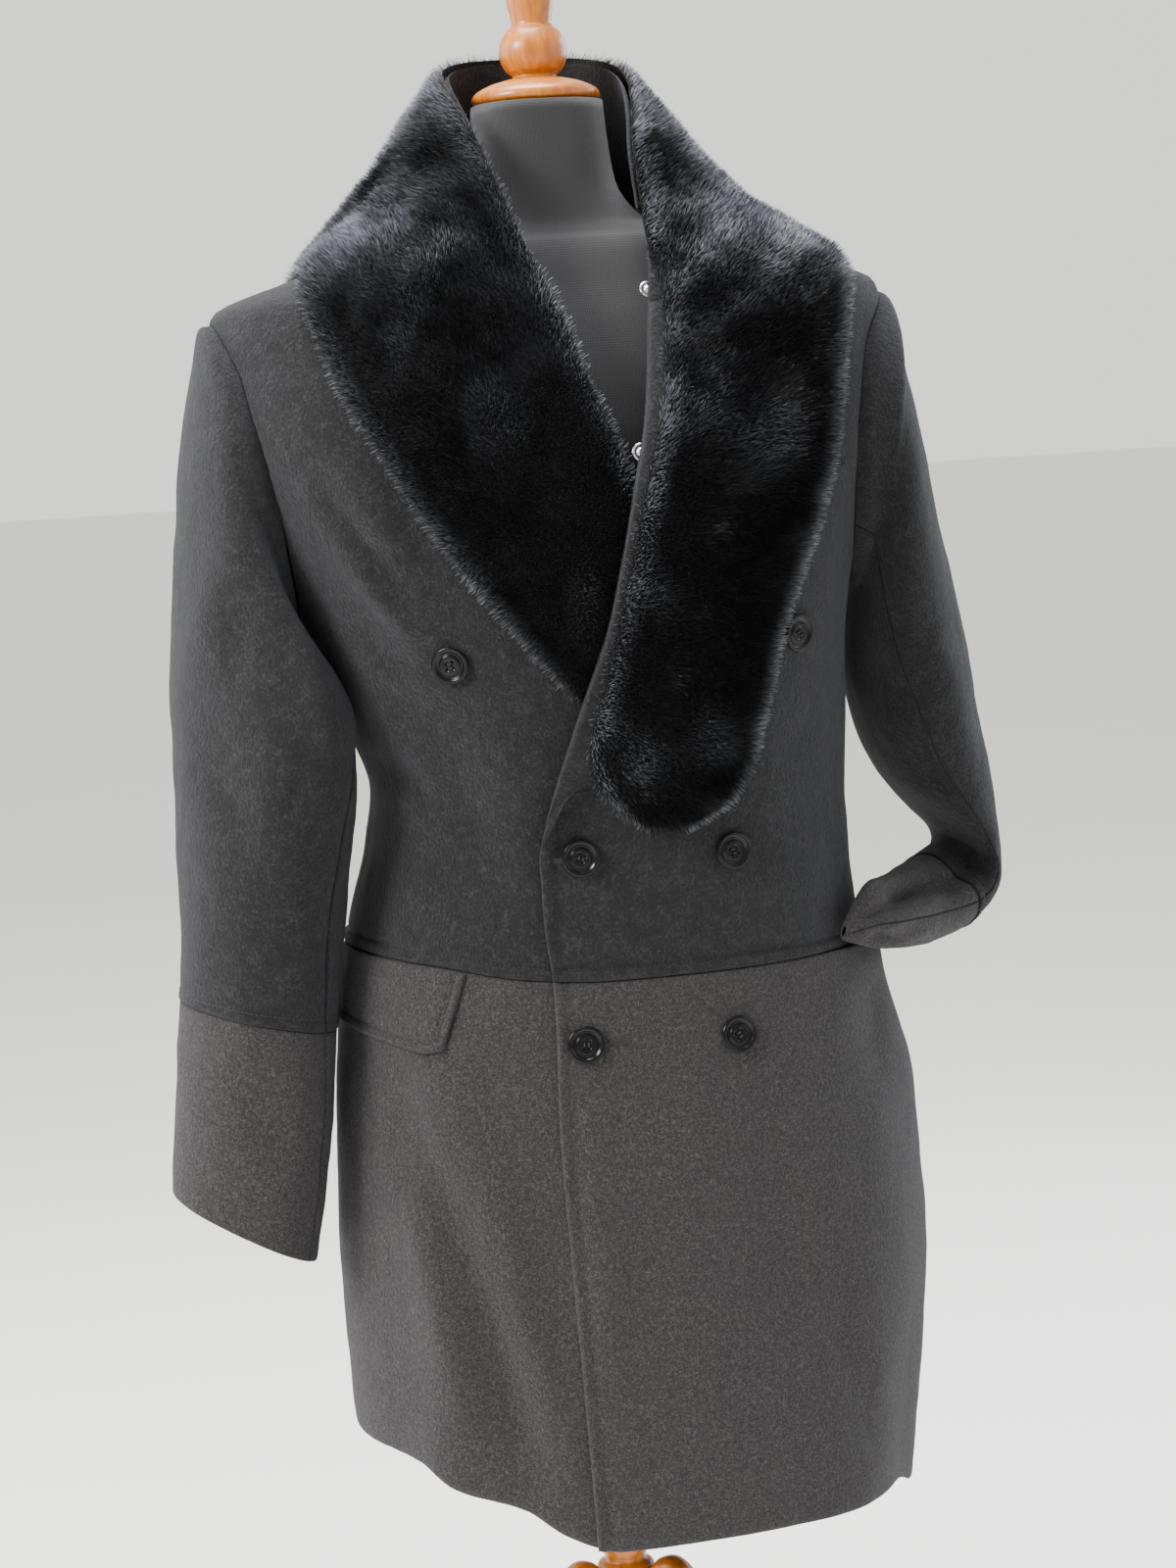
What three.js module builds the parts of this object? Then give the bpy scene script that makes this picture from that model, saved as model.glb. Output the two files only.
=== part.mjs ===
// Double-breasted overcoat with a plush shawl collar, worn on a turned-wood dress form.
// Millimetres, +Z up, the coat's front towards -Y, the wearer's left towards +X.
import * as THREE from 'three';

// Cloth and gaps
const WOOL = 2.4;            // wall of the coat's wool with its lining
const SEAM = 0.3;            // gap between two pieces at a seam
const LAPEL_WALL = 3.4;      // facing with its interlining
const PLUSH = 12;            // depth of the plush with its backing
const PLUSH_EDGE = 4;        // depth of the plush at its cut edge
const SQUARENESS = 2.3;      // exponent of the coat's horizontal sections
const FRONT_COLUMNS = 12;
const BACK_COLUMNS = 14;

// Heights
const UNDERARM_Z = 1185;
const SHOULDER_TIP_Z = 1401;
const NECKLINE_Z = 1455;
const BAND = 9;              // turned edge above the waist seam
const BAND_RISE = 1.0;

// Where layers lie, measured outwards from the inside of the coat
const OVERLAP_LIFT = 4.6;    // the left front over the right front
const TUCK_LIFT = 11;        // the left front over the right side's plush
const FACING_LIFT = WOOL + 1.45;
const PLUSH_LIFT = 8.8;
const FLAP_LIFT = WOOL + 1.0;

// Buttons
const BUTTON_RADIUS = 13.5;
const BUTTON_DEPTH = 3.6;
const SNAP_RADIUS = 6.5;

// Dress form
const LEG_WIDTH = 26;
const HUB_RADIUS = 22;
const LEG_TURNS = [200, 322, 80];

// The coat's sections: half-widths on the wearer's right and left, depth in front and behind
const BODY = [
  { z: 440, right: 192, left: 216, front: 172, back: 168 },
  { z: 520, right: 194, left: 226, front: 172, back: 167 },
  { z: 600, right: 197, left: 237, front: 168, back: 166 },
  { z: 700, right: 199, left: 245, front: 162, back: 162 },
  { z: 800, right: 195, left: 239, front: 155, back: 157 },
  { z: 880, right: 189, left: 214, front: 147, back: 150 },
  { z: 920, right: 183, left: 205, front: 142, back: 145 },
  { z: 960, right: 175, left: 201, front: 138, back: 139 },
  { z: 1010, right: 160, left: 199, front: 137, back: 135 },
  { z: 1050, right: 154, left: 200, front: 140, back: 135 },
  { z: 1100, right: 167, left: 203, front: 145, back: 137 },
  { z: 1150, right: 185, left: 206, front: 150, back: 141 },
  { z: 1195, right: 203, left: 211, front: 153, back: 145 },
  { z: 1250, right: 225, left: 226, front: 151, back: 147 },
  { z: 1300, right: 240, left: 240, front: 143, back: 144 },
  { z: 1350, right: 249, left: 248, front: 128, back: 135 },
  { z: 1385, right: 250, left: 248, front: 113, back: 124 },
  { z: 1405, right: 246, left: 244, front: 103, back: 116 },
  { z: 1425, right: 196, left: 196, front: 94, back: 108 },
  { z: 1445, right: 140, left: 140, front: 86, back: 100 },
  { z: 1466, right: 80, left: 80, front: 76, back: 90 },
];

// Soft folds that run down the cloth: where, how wide, how deep, between which heights
const FOLDS = [
  { turn: -44, spread: 7, rise: 6, top: 930, low: 440, lean: -4 },
  { turn: -27, spread: 8, rise: -5, top: 900, low: 440, lean: 3 },
  { turn: -78, spread: 9, rise: 5, top: 900, low: 440, lean: 2 },
  { turn: 34, spread: 9, rise: 5, top: 860, low: 440, lean: 4 },
  { turn: 62, spread: 9, rise: -4, top: 880, low: 440, lean: 0 },
  { turn: 150, spread: 12, rise: 7, top: 1000, low: 440, lean: 0 },
  { turn: -152, spread: 12, rise: 7, top: 1000, low: 440, lean: 0 },
  { turn: 180, spread: 9, rise: -6, top: 960, low: 440, lean: 0 },
  { turn: -52, spread: 7, rise: 6, top: 1400, low: 1180, lean: 22 },
  { turn: -44, spread: 8, rise: -4, top: 1230, low: 1000, lean: 10 },
];

// The skirt's top edge stands out at the left side, under the end of the left cuff
const MOUTH = { turn: 84, spread: 22, rise: 12, z: 912, fade: 60, dip: 2 };

// Left front's edge up to the neck: front edge below, roll line above
const LEFT_EDGE = [
  { z: 440, x: -48 }, { z: 512, x: -49 }, { z: 609, x: -51 }, { z: 786, x: -55 },
  { z: 921, x: -51 }, { z: 966, x: -54 }, { z: 1008, x: -54 }, { z: 1036, x: -48 },
  { z: 1077, x: -36 }, { z: 1125, x: -20 }, { z: 1173, x: -2 }, { z: 1220, x: 11 },
  { z: 1267, x: 23 }, { z: 1313, x: 36 }, { z: 1381, x: 49 }, { z: 1437, x: 57 },
  { z: 1466, x: 56 },
];
// Right front's edge, mostly under the left front
const RIGHT_EDGE = [
  { z: 440, x: 94 }, { z: 1030, x: 94 }, { z: 1077, x: 75 }, { z: 1126, x: 62 },
  { z: 1166, x: 51 }, { z: 1213, x: 38 }, { z: 1270, x: 25 }, { z: 1304, x: 13 },
  { z: 1343, x: 0 }, { z: 1381, x: -12 }, { z: 1420, x: -24 }, { z: 1466, x: -38 },
];

// Waist seam and hem around the body
const WAIST = [
  { turn: -180, z: 930 }, { turn: -110, z: 940 }, { turn: -75, z: 941 }, { turn: -45, z: 936 },
  { turn: -15, z: 923 }, { turn: 0, z: 920 }, { turn: 60, z: 919 }, { turn: 110, z: 919 },
  { turn: 180, z: 930 },
];
const HEM = [
  { turn: -180, z: 535 }, { turn: -110, z: 568 }, { turn: -75, z: 578 }, { turn: -54, z: 573 },
  { turn: -43, z: 557 }, { turn: -27, z: 542 }, { turn: -18, z: 523 }, { turn: -8, z: 512 },
  { turn: 30, z: 513 }, { turn: 60, z: 509 }, { turn: 82, z: 490 }, { turn: 110, z: 492 },
  { turn: 180, z: 535 },
];

// Armholes, seen from the side as half ellipses in front and behind
const ARMHOLE = { z: (UNDERARM_Z + SHOULDER_TIP_Z) / 2, half: (SHOULDER_TIP_Z - UNDERARM_Z) / 2 };
const ARMHOLE_FRONT = { right: 70, left: 84 };
const ARMHOLE_BACK = 80;
const ARMHOLE_GAP = 0.8;
const ARMHOLE_STEP = 18;     // degrees between the points that panels and sleeve heads share

// Heights of the rows of the upper panels: the armhole's own points between plain ones
const armholeHeight = (angle) => ARMHOLE.z + ARMHOLE.half * Math.cos(THREE.MathUtils.degToRad(angle));
const ARMHOLE_ROWS = Array.from({ length: 180 / ARMHOLE_STEP + 1 }, (_, i) => (
  armholeHeight(180 - i * ARMHOLE_STEP)));
const BODICE_ROWS = [962, 1005, 1035, 1060, 1085, 1112, 1147, ...ARMHOLE_ROWS, 1413, 1427, 1441,
  NECKLINE_Z];

// The hanging right sleeve: outer and inner points, centre's depth, half depths, front seam's angle
const RIGHT_SLEEVE = [
  { outX: -257, outZ: 1395, inX: -204, inZ: 1182, y: 1, half: 76, seam: 147, dent: -3, turn: 0 },
  { outX: -265, outZ: 1366, inX: -206, inZ: 1179, y: 1, half: 78, seam: 150, dent: -8, turn: 0 },
  { outX: -278, outZ: 1300, inX: -201, inZ: 1168, y: -2, half: 80, seam: 152, dent: -18, turn: -4 },
  { outX: -286, outZ: 1225, inX: -193, inZ: 1146, y: -8, half: 81, seam: 154, dent: -24, turn: -7 },
  { outX: -294, outZ: 1150, inX: -184, inZ: 1113, y: -16, half: 80, seam: 152, dent: -20, turn: -8 },
  { outX: -298, outZ: 1080, inX: -178, inZ: 1070, y: -23, half: 76, seam: 138, dent: -10, turn: -7 },
  { outX: -301, outZ: 1010, inX: -182, inZ: 1010, y: -24, half: 71, seam: 132, dent: -5, turn: -4 },
  { outX: -304, outZ: 955, inX: -191, inZ: 945, y: -26, half: 66, seam: 132, dent: -5, turn: 0 },
  { outX: -308, outZ: 915, inX: -200, inZ: 887, y: -28, half: 63, seam: 136, dent: -6, turn: 0 },
];
const RIGHT_CUFF = [
  { outX: -308, outZ: 915, inX: -200, inZ: 887, y: -28, half: 63, seam: 136, dent: -6, turn: 0 },
  { outX: -313, outZ: 869, inX: -206, inZ: 836, y: -30, half: 60, seam: 137, dent: -8, turn: 0 },
  { outX: -319, outZ: 820, inX: -216, inZ: 777, y: -33, half: 57, seam: 138, dent: -9, turn: 0 },
  { outX: -324, outZ: 772, inX: -228, inZ: 719, y: -35, half: 54, seam: 138, dent: -9, turn: 0 },
];
// The bent left sleeve, down to the elbow and forward to the pocket
const LEFT_SLEEVE = [
  { outX: 256, outZ: 1390, inX: 213, inZ: 1182, y: -1, half: 82, seam: 129, dent: 0, turn: 0 },
  { outX: 259, outZ: 1362, inX: 217, inZ: 1179, y: -1, half: 80, seam: 132, dent: 0, turn: 0 },
  { outX: 270, outZ: 1300, inX: 217, inZ: 1167, y: 0, half: 80, seam: 130, dent: 0, turn: 0 },
  { outX: 285, outZ: 1228, inX: 216, inZ: 1150, y: 3, half: 78, seam: 126, dent: 0, turn: 0 },
  { outX: 300, outZ: 1158, inX: 216, inZ: 1121, y: 8, half: 72, seam: 118, dent: 0, turn: 0 },
  { outX: 311, outZ: 1092, inX: 223, inZ: 1079, y: 12, half: 64, seam: 106, dent: 0, turn: 0 },
  { outX: 320, outZ: 1040, inX: 240, inZ: 1037, y: 15, half: 55, seam: 98, dent: 0, turn: 0 },
  { outX: 324, outZ: 1002, inX: 266, inZ: 1004, y: 17, half: 48, seam: 90, dent: 2, turn: 3 },
  { outX: 324, outZ: 966, inX: 287, inZ: 984, y: 18, half: 43, seam: 84, dent: 5, turn: 8 },
  { outX: 316, outZ: 941, inX: 293, inZ: 977, y: 15, half: 41, seam: 82, dent: 8, turn: 16 },
  { outX: 299, outZ: 924, inX: 284, inZ: 971, y: 7, half: 39, seam: 80, dent: 12, turn: 28 },
  { outX: 279, outZ: 912, inX: 271, inZ: 968, y: -6, half: 36, seam: 80, dent: 15, turn: 38 },
];
const LEFT_CUFF = [
  { outX: 279, outZ: 912, inX: 271, inZ: 968, y: -6, half: 36, seam: 80, dent: 15, turn: 38 },
  { outX: 259, outZ: 909, inX: 252, inZ: 966, y: -27, half: 29, seam: 80, dent: 17, turn: 44 },
  { outX: 240, outZ: 910, inX: 232, inZ: 965, y: -50, half: 21, seam: 80, dent: 13, turn: 50 },
  { outX: 220, outZ: 914, inX: 213, inZ: 965, y: -73, half: 14, seam: 80, dent: 8, turn: 48 },
  { outX: 200, outZ: 918, inX: 195, inZ: 962, y: -92, half: 9, seam: 80, dent: 3, turn: 40 },
  { outX: 171, outZ: 930, inX: 173, inZ: 937, y: -106, half: 1, seam: 80, dent: 0, turn: 34 },
];
const BACK_SEAM = 234;
const HEAD_SEAM = { right: 144, left: 126 };

// Plush collar on the chest: inner and outer edge of each station, from the lapel's tip up
const LEFT_PLUSH = [
  { inX: 20, inZ: 1030, outX: 46, outZ: 1028 }, { inX: -3, inZ: 1049, outX: 77, outZ: 1042 },
  { inX: -16, inZ: 1071, outX: 94, outZ: 1067 }, { inX: -17, inZ: 1098, outX: 103, outZ: 1099 },
  { inX: -9, inZ: 1130, outX: 112, outZ: 1131 }, { inX: 1, inZ: 1168, outX: 123, outZ: 1167 },
  { inX: 14, inZ: 1213, outX: 144, outZ: 1212 }, { inX: 27, inZ: 1260, outX: 164, outZ: 1260 },
  { inX: 42, inZ: 1306, outX: 179, outZ: 1308 }, { inX: 54, inZ: 1350, outX: 189, outZ: 1352 },
  { inX: 59, inZ: 1392, outX: 199, outZ: 1386 },
];
const RIGHT_PLUSH = [
  { inX: 36, inZ: 1108, outX: 6, outZ: 1104 }, { inX: 50, inZ: 1124, outX: -16, outZ: 1117 },
  { inX: 52, inZ: 1144, outX: -34, outZ: 1138 }, { inX: 48, inZ: 1170, outX: -56, outZ: 1167 },
  { inX: 38, inZ: 1212, outX: -88, outZ: 1208 }, { inX: 27, inZ: 1262, outX: -117, outZ: 1253 },
  { inX: 14, inZ: 1304, outX: -143, outZ: 1301 }, { inX: 0, inZ: 1343, outX: -165, outZ: 1343 },
  { inX: -12, inZ: 1385, outX: -178, outZ: 1384 },
];
// Round the neck: roll edge in the air, outer edge resting on the shoulders and back
const LEFT_NECK = [
  { x: 58, y: -98, z: 1430, turn: 55, edgeZ: 1404, swell: 12 },
  { x: 56, y: -84, z: 1468, turn: 73, edgeZ: 1418, swell: 6 },
  { x: 56, y: -68, z: 1508, turn: 91, edgeZ: 1422, swell: 0 },
  { x: 62, y: -42, z: 1542, turn: 110, edgeZ: 1419, swell: -3 },
  { x: 66, y: -8, z: 1565, turn: 130, edgeZ: 1413, swell: 0 },
  { x: 62, y: 30, z: 1579, turn: 148, edgeZ: 1407, swell: 5 },
  { x: 42, y: 58, z: 1587, turn: 164, edgeZ: 1404, swell: 9 },
  { x: 0.3, y: 72, z: 1590, turn: 179.8, edgeZ: 1402, swell: 10 },
];
const RIGHT_NECK = [
  { x: -27, y: -102, z: 1430, turn: -47, edgeZ: 1408, swell: 12 },
  { x: -40, y: -88, z: 1468, turn: -64, edgeZ: 1424, swell: 4 },
  { x: -52, y: -70, z: 1508, turn: -84, edgeZ: 1433, swell: -6 },
  { x: -62, y: -42, z: 1542, turn: -104, edgeZ: 1431, swell: -9 },
  { x: -67, y: -8, z: 1565, turn: -127, edgeZ: 1418, swell: -4 },
  { x: -62, y: 30, z: 1579, turn: -148, edgeZ: 1408, swell: 4 },
  { x: -42, y: 58, z: 1587, turn: -164, edgeZ: 1404, swell: 9 },
  { x: -0.3, y: 72, z: 1590, turn: -179.8, edgeZ: 1402, swell: 10 },
];
// Wool facings under the plush: roll line to outer edge
const LEFT_FACING = [
  { inZ: 1022, outX: -50, outZ: 1024 }, { inZ: 1046, outX: -22, outZ: 1066 },
  { inZ: 1072, outX: 60, outZ: 1076 }, { inZ: 1100, outX: 90, outZ: 1100 },
  { inZ: 1132, outX: 99, outZ: 1132 }, { inZ: 1168, outX: 109, outZ: 1168 },
  { inZ: 1213, outX: 130, outZ: 1213 }, { inZ: 1260, outX: 150, outZ: 1260 },
  { inZ: 1306, outX: 165, outZ: 1306 }, { inZ: 1350, outX: 176, outZ: 1350 },
  { inZ: 1392, outX: 184, outZ: 1384 },
];
const RIGHT_FACING = [
  { inZ: 1128, outX: 26, outZ: 1126 }, { inZ: 1146, outX: -14, outZ: 1144 },
  { inZ: 1170, outX: -40, outZ: 1172 }, { inZ: 1212, outX: -73, outZ: 1212 },
  { inZ: 1262, outX: -102, outZ: 1257 }, { inZ: 1304, outX: -128, outZ: 1304 },
  { inZ: 1343, outX: -150, outZ: 1343 }, { inZ: 1385, outX: -163, outZ: 1380 },
];
// Where the collar's stand rises from the neckline, in step with the neck tables
const STAND_TURNS = [29, 40, 56, 76, 98, 124, 150, 179.8];

const BUTTONS = [
  { name: 'button_right_chest', x: -107, z: 1153, side: -1, gap: 1.2 },
  { name: 'button_left_chest', x: 140, z: 1157, side: 1, gap: 0.8 },
  { name: 'button_upper_inner', x: -26, z: 1010, side: 1, gap: 0.9 },
  { name: 'button_upper_outer', x: 83, z: 1005, side: 1, gap: 0.8 },
  { name: 'button_lower_inner', x: -32, z: 877, side: 1, gap: 0.2 },
  { name: 'button_lower_outer', x: 78, z: 873, side: 1, gap: 0.2 },
];
const SNAPS = [
  { name: 'snap_upper', x: 54, z: 1405 },
  { name: 'snap_lower', x: 31, z: 1290 },
];

// Dress form's torso under the coat
const FORM = [
  { z: 752, side: 118, front: 84, back: 88 }, { z: 764, side: 140, front: 100, back: 104 },
  { z: 800, side: 152, front: 110, back: 116 }, { z: 880, side: 150, front: 108, back: 114 },
  { z: 960, side: 138, front: 100, back: 104 }, { z: 1020, side: 134, front: 98, back: 100 },
  { z: 1100, side: 146, front: 106, back: 106 }, { z: 1200, side: 168, front: 120, back: 116 },
  { z: 1280, side: 182, front: 122, back: 120 }, { z: 1340, side: 188, front: 110, back: 114 },
  { z: 1385, side: 188, front: 94, back: 102 }, { z: 1412, side: 183, front: 82, back: 94 },
  { z: 1436, side: 163.4, front: 72, back: 84 }, { z: 1446, side: 135.3, front: 66, back: 76 },
  { z: 1452, side: 110, front: 60, back: 68 }, { z: 1462, side: 74, front: 55, back: 58 },
  { z: 1490, side: 54, front: 51, back: 52 }, { z: 1520, side: 50, front: 49, back: 49 },
  { z: 1548, side: 48, front: 48, back: 48 },
];
const NECK_CAP = [
  { r: 44, z: 1548.3 }, { r: 47, z: 1551 }, { r: 46, z: 1556 }, { r: 36, z: 1562 },
  { r: 22, z: 1566 }, { r: 16, z: 1568 }, { r: 21, z: 1573 }, { r: 24.5, z: 1581 },
  { r: 24.5, z: 1591 }, { r: 20, z: 1600 }, { r: 15, z: 1605 }, { r: 15, z: 1610 },
  { r: 17.5, z: 1624 }, { r: 17, z: 1634 }, { r: 11, z: 1642 },
];
const POST = [
  { r: 9, z: 318 }, { r: 16, z: 323 }, { r: 19, z: 334 }, { r: 14, z: 346 },
  { r: HUB_RADIUS, z: 350 }, { r: HUB_RADIUS, z: 436 }, { r: 16, z: 442 }, { r: 18, z: 450 },
  { r: 17, z: 700 }, { r: 26, z: 744 }, { r: 26, z: 751.7 },
];
// A leg's side view: distance from the hub's axis against height
const LEG_TOP = [
  [0, 436], [8, 444], [20, 446], [32, 438], [40, 420], [60, 372], [96, 300], [140, 218],
  [186, 140], [226, 76], [250, 42], [270, 24], [285, 12], [285, 0],
];
const LEG_UNDER = [
  [236, 0], [222, 16], [190, 66], [150, 130], [104, 206], [64, 276], [34, 330], [14, 354], [0, 358],
];

const COLOURS = {
  blackWool: { color: 0x2b2b2d, roughness: 0.92, metalness: 0 },
  greyWool: { color: 0x4e4b4c, roughness: 0.95, metalness: 0 },
  plush: { color: 0x121217, roughness: 0.8, metalness: 0 },
  button: { color: 0x131315, roughness: 0.25, metalness: 0 },
  snap: { color: 0xb8b9bb, roughness: 0.3, metalness: 1 },
  jersey: { color: 0x1e1e21, roughness: 0.9, metalness: 0 },
  wood: { color: 0xcf9040, roughness: 0.35, metalness: 0 },
};

const rad = THREE.MathUtils.degToRad;
const lerp = THREE.MathUtils.lerp;
const smooth = THREE.MathUtils.smoothstep;
const clamp = THREE.MathUtils.clamp;
const part = new THREE.Group();

// Monotone cubic through the rows of a table
function along(rows, key, name) {
  const at = rows.map((row) => row[key]);
  const value = rows.map((row) => row[name]);
  const rise = at.slice(1).map((q, i) => (value[i + 1] - value[i]) / (q - at[i]));
  const slope = at.map((_, i) => {
    if (i === 0) return rise[0];
    if (i === rise.length) return rise[i - 1];
    const [a, b] = [rise[i - 1], rise[i]];
    return a * b > 0 ? (2 * a * b) / (a + b) : 0;
  });
  return (query) => {
    const q = clamp(query, at[0], at[at.length - 1]);
    let i = 0;
    while (i < rise.length - 1 && q > at[i + 1]) i += 1;
    const h = at[i + 1] - at[i];
    const t = (q - at[i]) / h;
    return (1 + 2 * t) * (1 - t) ** 2 * value[i] + t * (1 - t) ** 2 * h * slope[i]
      + t * t * (3 - 2 * t) * value[i + 1] + t * t * (t - 1) * h * slope[i + 1];
  };
}

const bodyRight = along(BODY, 'z', 'right');
const bodyLeft = along(BODY, 'z', 'left');
const bodyFront = along(BODY, 'z', 'front');
const bodyBack = along(BODY, 'z', 'back');
const leftEdgeX = along(LEFT_EDGE, 'z', 'x');
const rightEdgeX = along(RIGHT_EDGE, 'z', 'x');
const waistZ = along(WAIST, 'turn', 'z');
const hemZ = along(HEM, 'turn', 'z');

const bell = (value, centre, spread) => Math.exp(-(((value - centre) / spread) ** 2) / 2);
const wrapTurn = (turn) => ((((turn + 180) % 360) + 360) % 360) - 180;

// How far folds push the cloth out at a turn (degrees, 0 in front, 90 at the wearer's left)
function foldRise(turn, z) {
  let rise = 0;
  for (const fold of FOLDS) {
    const share = clamp((fold.top - z) / (fold.top - fold.low), 0, 1);
    const centre = fold.turn + fold.lean * (share - 0.5);
    const ends = smooth(z, fold.low - 60, fold.low + 40) * (1 - smooth(z, fold.top - 90, fold.top));
    rise += fold.rise * ends * bell(wrapTurn(turn - centre), 0, fold.spread);
  }
  return rise;
}

function mouthRise(turn, z) {
  if (z > MOUTH.z + 8) return 0;
  return MOUTH.rise * bell(turn, MOUTH.turn, MOUTH.spread) * bell(z, MOUTH.z, MOUTH.fade);
}

// Point of a horizontal section
function sectionPoint(turn, z, widthRight, widthLeft, front, back) {
  const s = Math.sin(rad(turn));
  const c = Math.cos(rad(turn));
  const power = 2 / SQUARENESS;
  const x = (s >= 0 ? widthLeft : widthRight) * Math.sign(s) * Math.abs(s) ** power;
  const y = (c >= 0 ? -front : back) * Math.abs(c) ** power;
  return new THREE.Vector3(x, y, z);
}

const bodyBase = (turn, z) => sectionPoint(turn, z, bodyRight(z), bodyLeft(z), bodyFront(z), bodyBack(z));

function bodyNormal(turn, z) {
  const around = bodyBase(turn + 1, z).sub(bodyBase(turn - 1, z));
  const up = bodyBase(turn, z + 2).sub(bodyBase(turn, z - 2));
  return around.cross(up).normalize();
}

// Point of the coat, lifted outwards from the inside of its cloth
function coatPoint(turn, z, lift = 0) {
  const out = bodyNormal(turn, z).multiplyScalar(lift + foldRise(turn, z));
  return bodyBase(turn, z).add(out);
}

// Turn of the front at a given x
function turnAt(x, z) {
  const width = x >= 0 ? bodyLeft(z) : bodyRight(z);
  const share = clamp(Math.abs(x) / width, 0, 1) ** (SQUARENESS / 2);
  return Math.sign(x) * THREE.MathUtils.radToDeg(Math.asin(share));
}

// Turn of the armhole's edge: 90 below the underarm and above the shoulder's tip
function armholeTurn(side, z, behind) {
  const high = (z - ARMHOLE.z) / ARMHOLE.half;
  if (Math.abs(high) >= 1) return 90;
  const reach = behind ? ARMHOLE_BACK : ARMHOLE_FRONT[side];
  const depth = reach * Math.sqrt(1 - high * high);
  const share = clamp(depth / (behind ? bodyBack(z) : bodyFront(z)), 0, 1) ** (SQUARENESS / 2);
  const fromMiddle = THREE.MathUtils.radToDeg(Math.acos(share));
  return behind ? 180 - fromMiddle : fromMiddle;
}

// How far the left front lies out: over the right front and over the tucked plush
function leftLift(turn, z) {
  const overlap = OVERLAP_LIFT * (1 - smooth(turn, 32, 62));
  const x = bodyBase(turn, z).x;
  const level = smooth(z, 1030, 1130) * (1 - smooth(z, 1265, 1375));
  return overlap + TUCK_LIFT * level * (1 - smooth(x, 50, 140));
}

function addMesh(name, finish, geometry) {
  geometry.computeVertexNormals();
  const mesh = new THREE.Mesh(geometry, new THREE.MeshStandardMaterial(COLOURS[finish]));
  mesh.name = name;
  part.add(mesh);
  return mesh;
}

// Closed wall between two grids of points, turned so that its faces point out
function wall(name, finish, under, over) {
  const rows = under.length;
  const columns = under[0].length;
  const layer = rows * columns;
  const points = [...under.flat(), ...over.flat()];
  const faces = [];
  const quad = (a, b, c, d) => faces.push([a, b, c], [a, c, d]);
  const at = (j, i) => j * columns + i;
  for (let j = 0; j < rows - 1; j += 1) {
    for (let i = 0; i < columns - 1; i += 1) {
      quad(layer + at(j, i), layer + at(j, i + 1), layer + at(j + 1, i + 1), layer + at(j + 1, i));
      quad(at(j, i), at(j + 1, i), at(j + 1, i + 1), at(j, i + 1));
    }
    quad(at(j, 0), layer + at(j, 0), layer + at(j + 1, 0), at(j + 1, 0));
    const e = columns - 1;
    quad(at(j + 1, e), layer + at(j + 1, e), layer + at(j, e), at(j, e));
  }
  for (let i = 0; i < columns - 1; i += 1) {
    const e = rows - 1;
    quad(at(0, i + 1), layer + at(0, i + 1), layer + at(0, i), at(0, i));
    quad(at(e, i), layer + at(e, i), layer + at(e, i + 1), at(e, i + 1));
  }
  return addMesh(name, finish, fromFaces(points, faces));
}

function fromFaces(points, faces) {
  const volume = faces.reduce((sum, [a, b, c]) => (
    sum + points[a].dot(points[b].clone().cross(points[c]))), 0);
  const index = faces.flatMap(([a, b, c]) => (volume > 0 ? [a, b, c] : [a, c, b]));
  const geometry = new THREE.BufferGeometry().setFromPoints(points);
  geometry.setIndex(index);
  return geometry;
}

// Grid of rows and columns from a function of two shares
function grid(rows, columns, pointAt) {
  return Array.from({ length: rows + 1 }, (_, j) => (
    Array.from({ length: columns + 1 }, (_, i) => pointAt(j / rows, i / columns, j, i))));
}

// Smooth grid through stations, each a list of points
function loft(stations, rows) {
  const curves = stations[0].map((_, i) => (
    new THREE.CatmullRomCurve3(stations.map((points) => points[i]), false, 'centripetal')));
  return grid(rows, curves.length - 1, (v, _, j, i) => curves[i].getPoint(v));
}

function gridNormal(points, j, i, sign) {
  const up = points[Math.min(j + 1, points.length - 1)][i].clone().sub(points[Math.max(j - 1, 0)][i]);
  const last = points[0].length - 1;
  const side = points[j][Math.min(i + 1, last)].clone().sub(points[j][Math.max(i - 1, 0)]);
  return side.cross(up).normalize().multiplyScalar(sign);
}

const moved = (points, sign, depth) => points.map((row, j) => row.map((point, i) => (
  point.clone().addScaledVector(
    gridNormal(points, j, i, sign), depth(j / (points.length - 1), i / (row.length - 1), point))
)));

// Upper front: from its edge or roll line to the side seam and armhole
function upperFront(name, side) {
  const left = side === 'left';
  const sign = left ? 1 : -1;
  const columns = FRONT_COLUMNS;
  const lift = (turn, z) => (left ? leftLift(turn, z) : 0);
  const heights = [null, BAND, ...BODICE_ROWS];
  const place = (j, share) => {
    const nominal = j < 2 ? 925 : heights[j];
    const start = turnAt(left ? leftEdgeX(nominal) : rightEdgeX(nominal), nominal);
    const seam = THREE.MathUtils.radToDeg(SEAM / 2 / bodyLeft(nominal));
    const end = sign * (armholeTurn(side, nominal, false) - seam);
    const turn = lerp(start, end, share);
    const z = j < 2 ? waistZ(turn) + SEAM / 2 + j * BAND : nominal;
    return { turn, z };
  };
  const layer = (extra, band) => grid(heights.length - 1, columns, (v, share, j) => {
    const { turn, z } = place(j, share);
    return coatPoint(turn, z, lift(turn, z) + extra + (j < 2 ? band : 0));
  });
  wall(name, 'blackWool', layer(0, 0), layer(WOOL, BAND_RISE));
}

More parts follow.
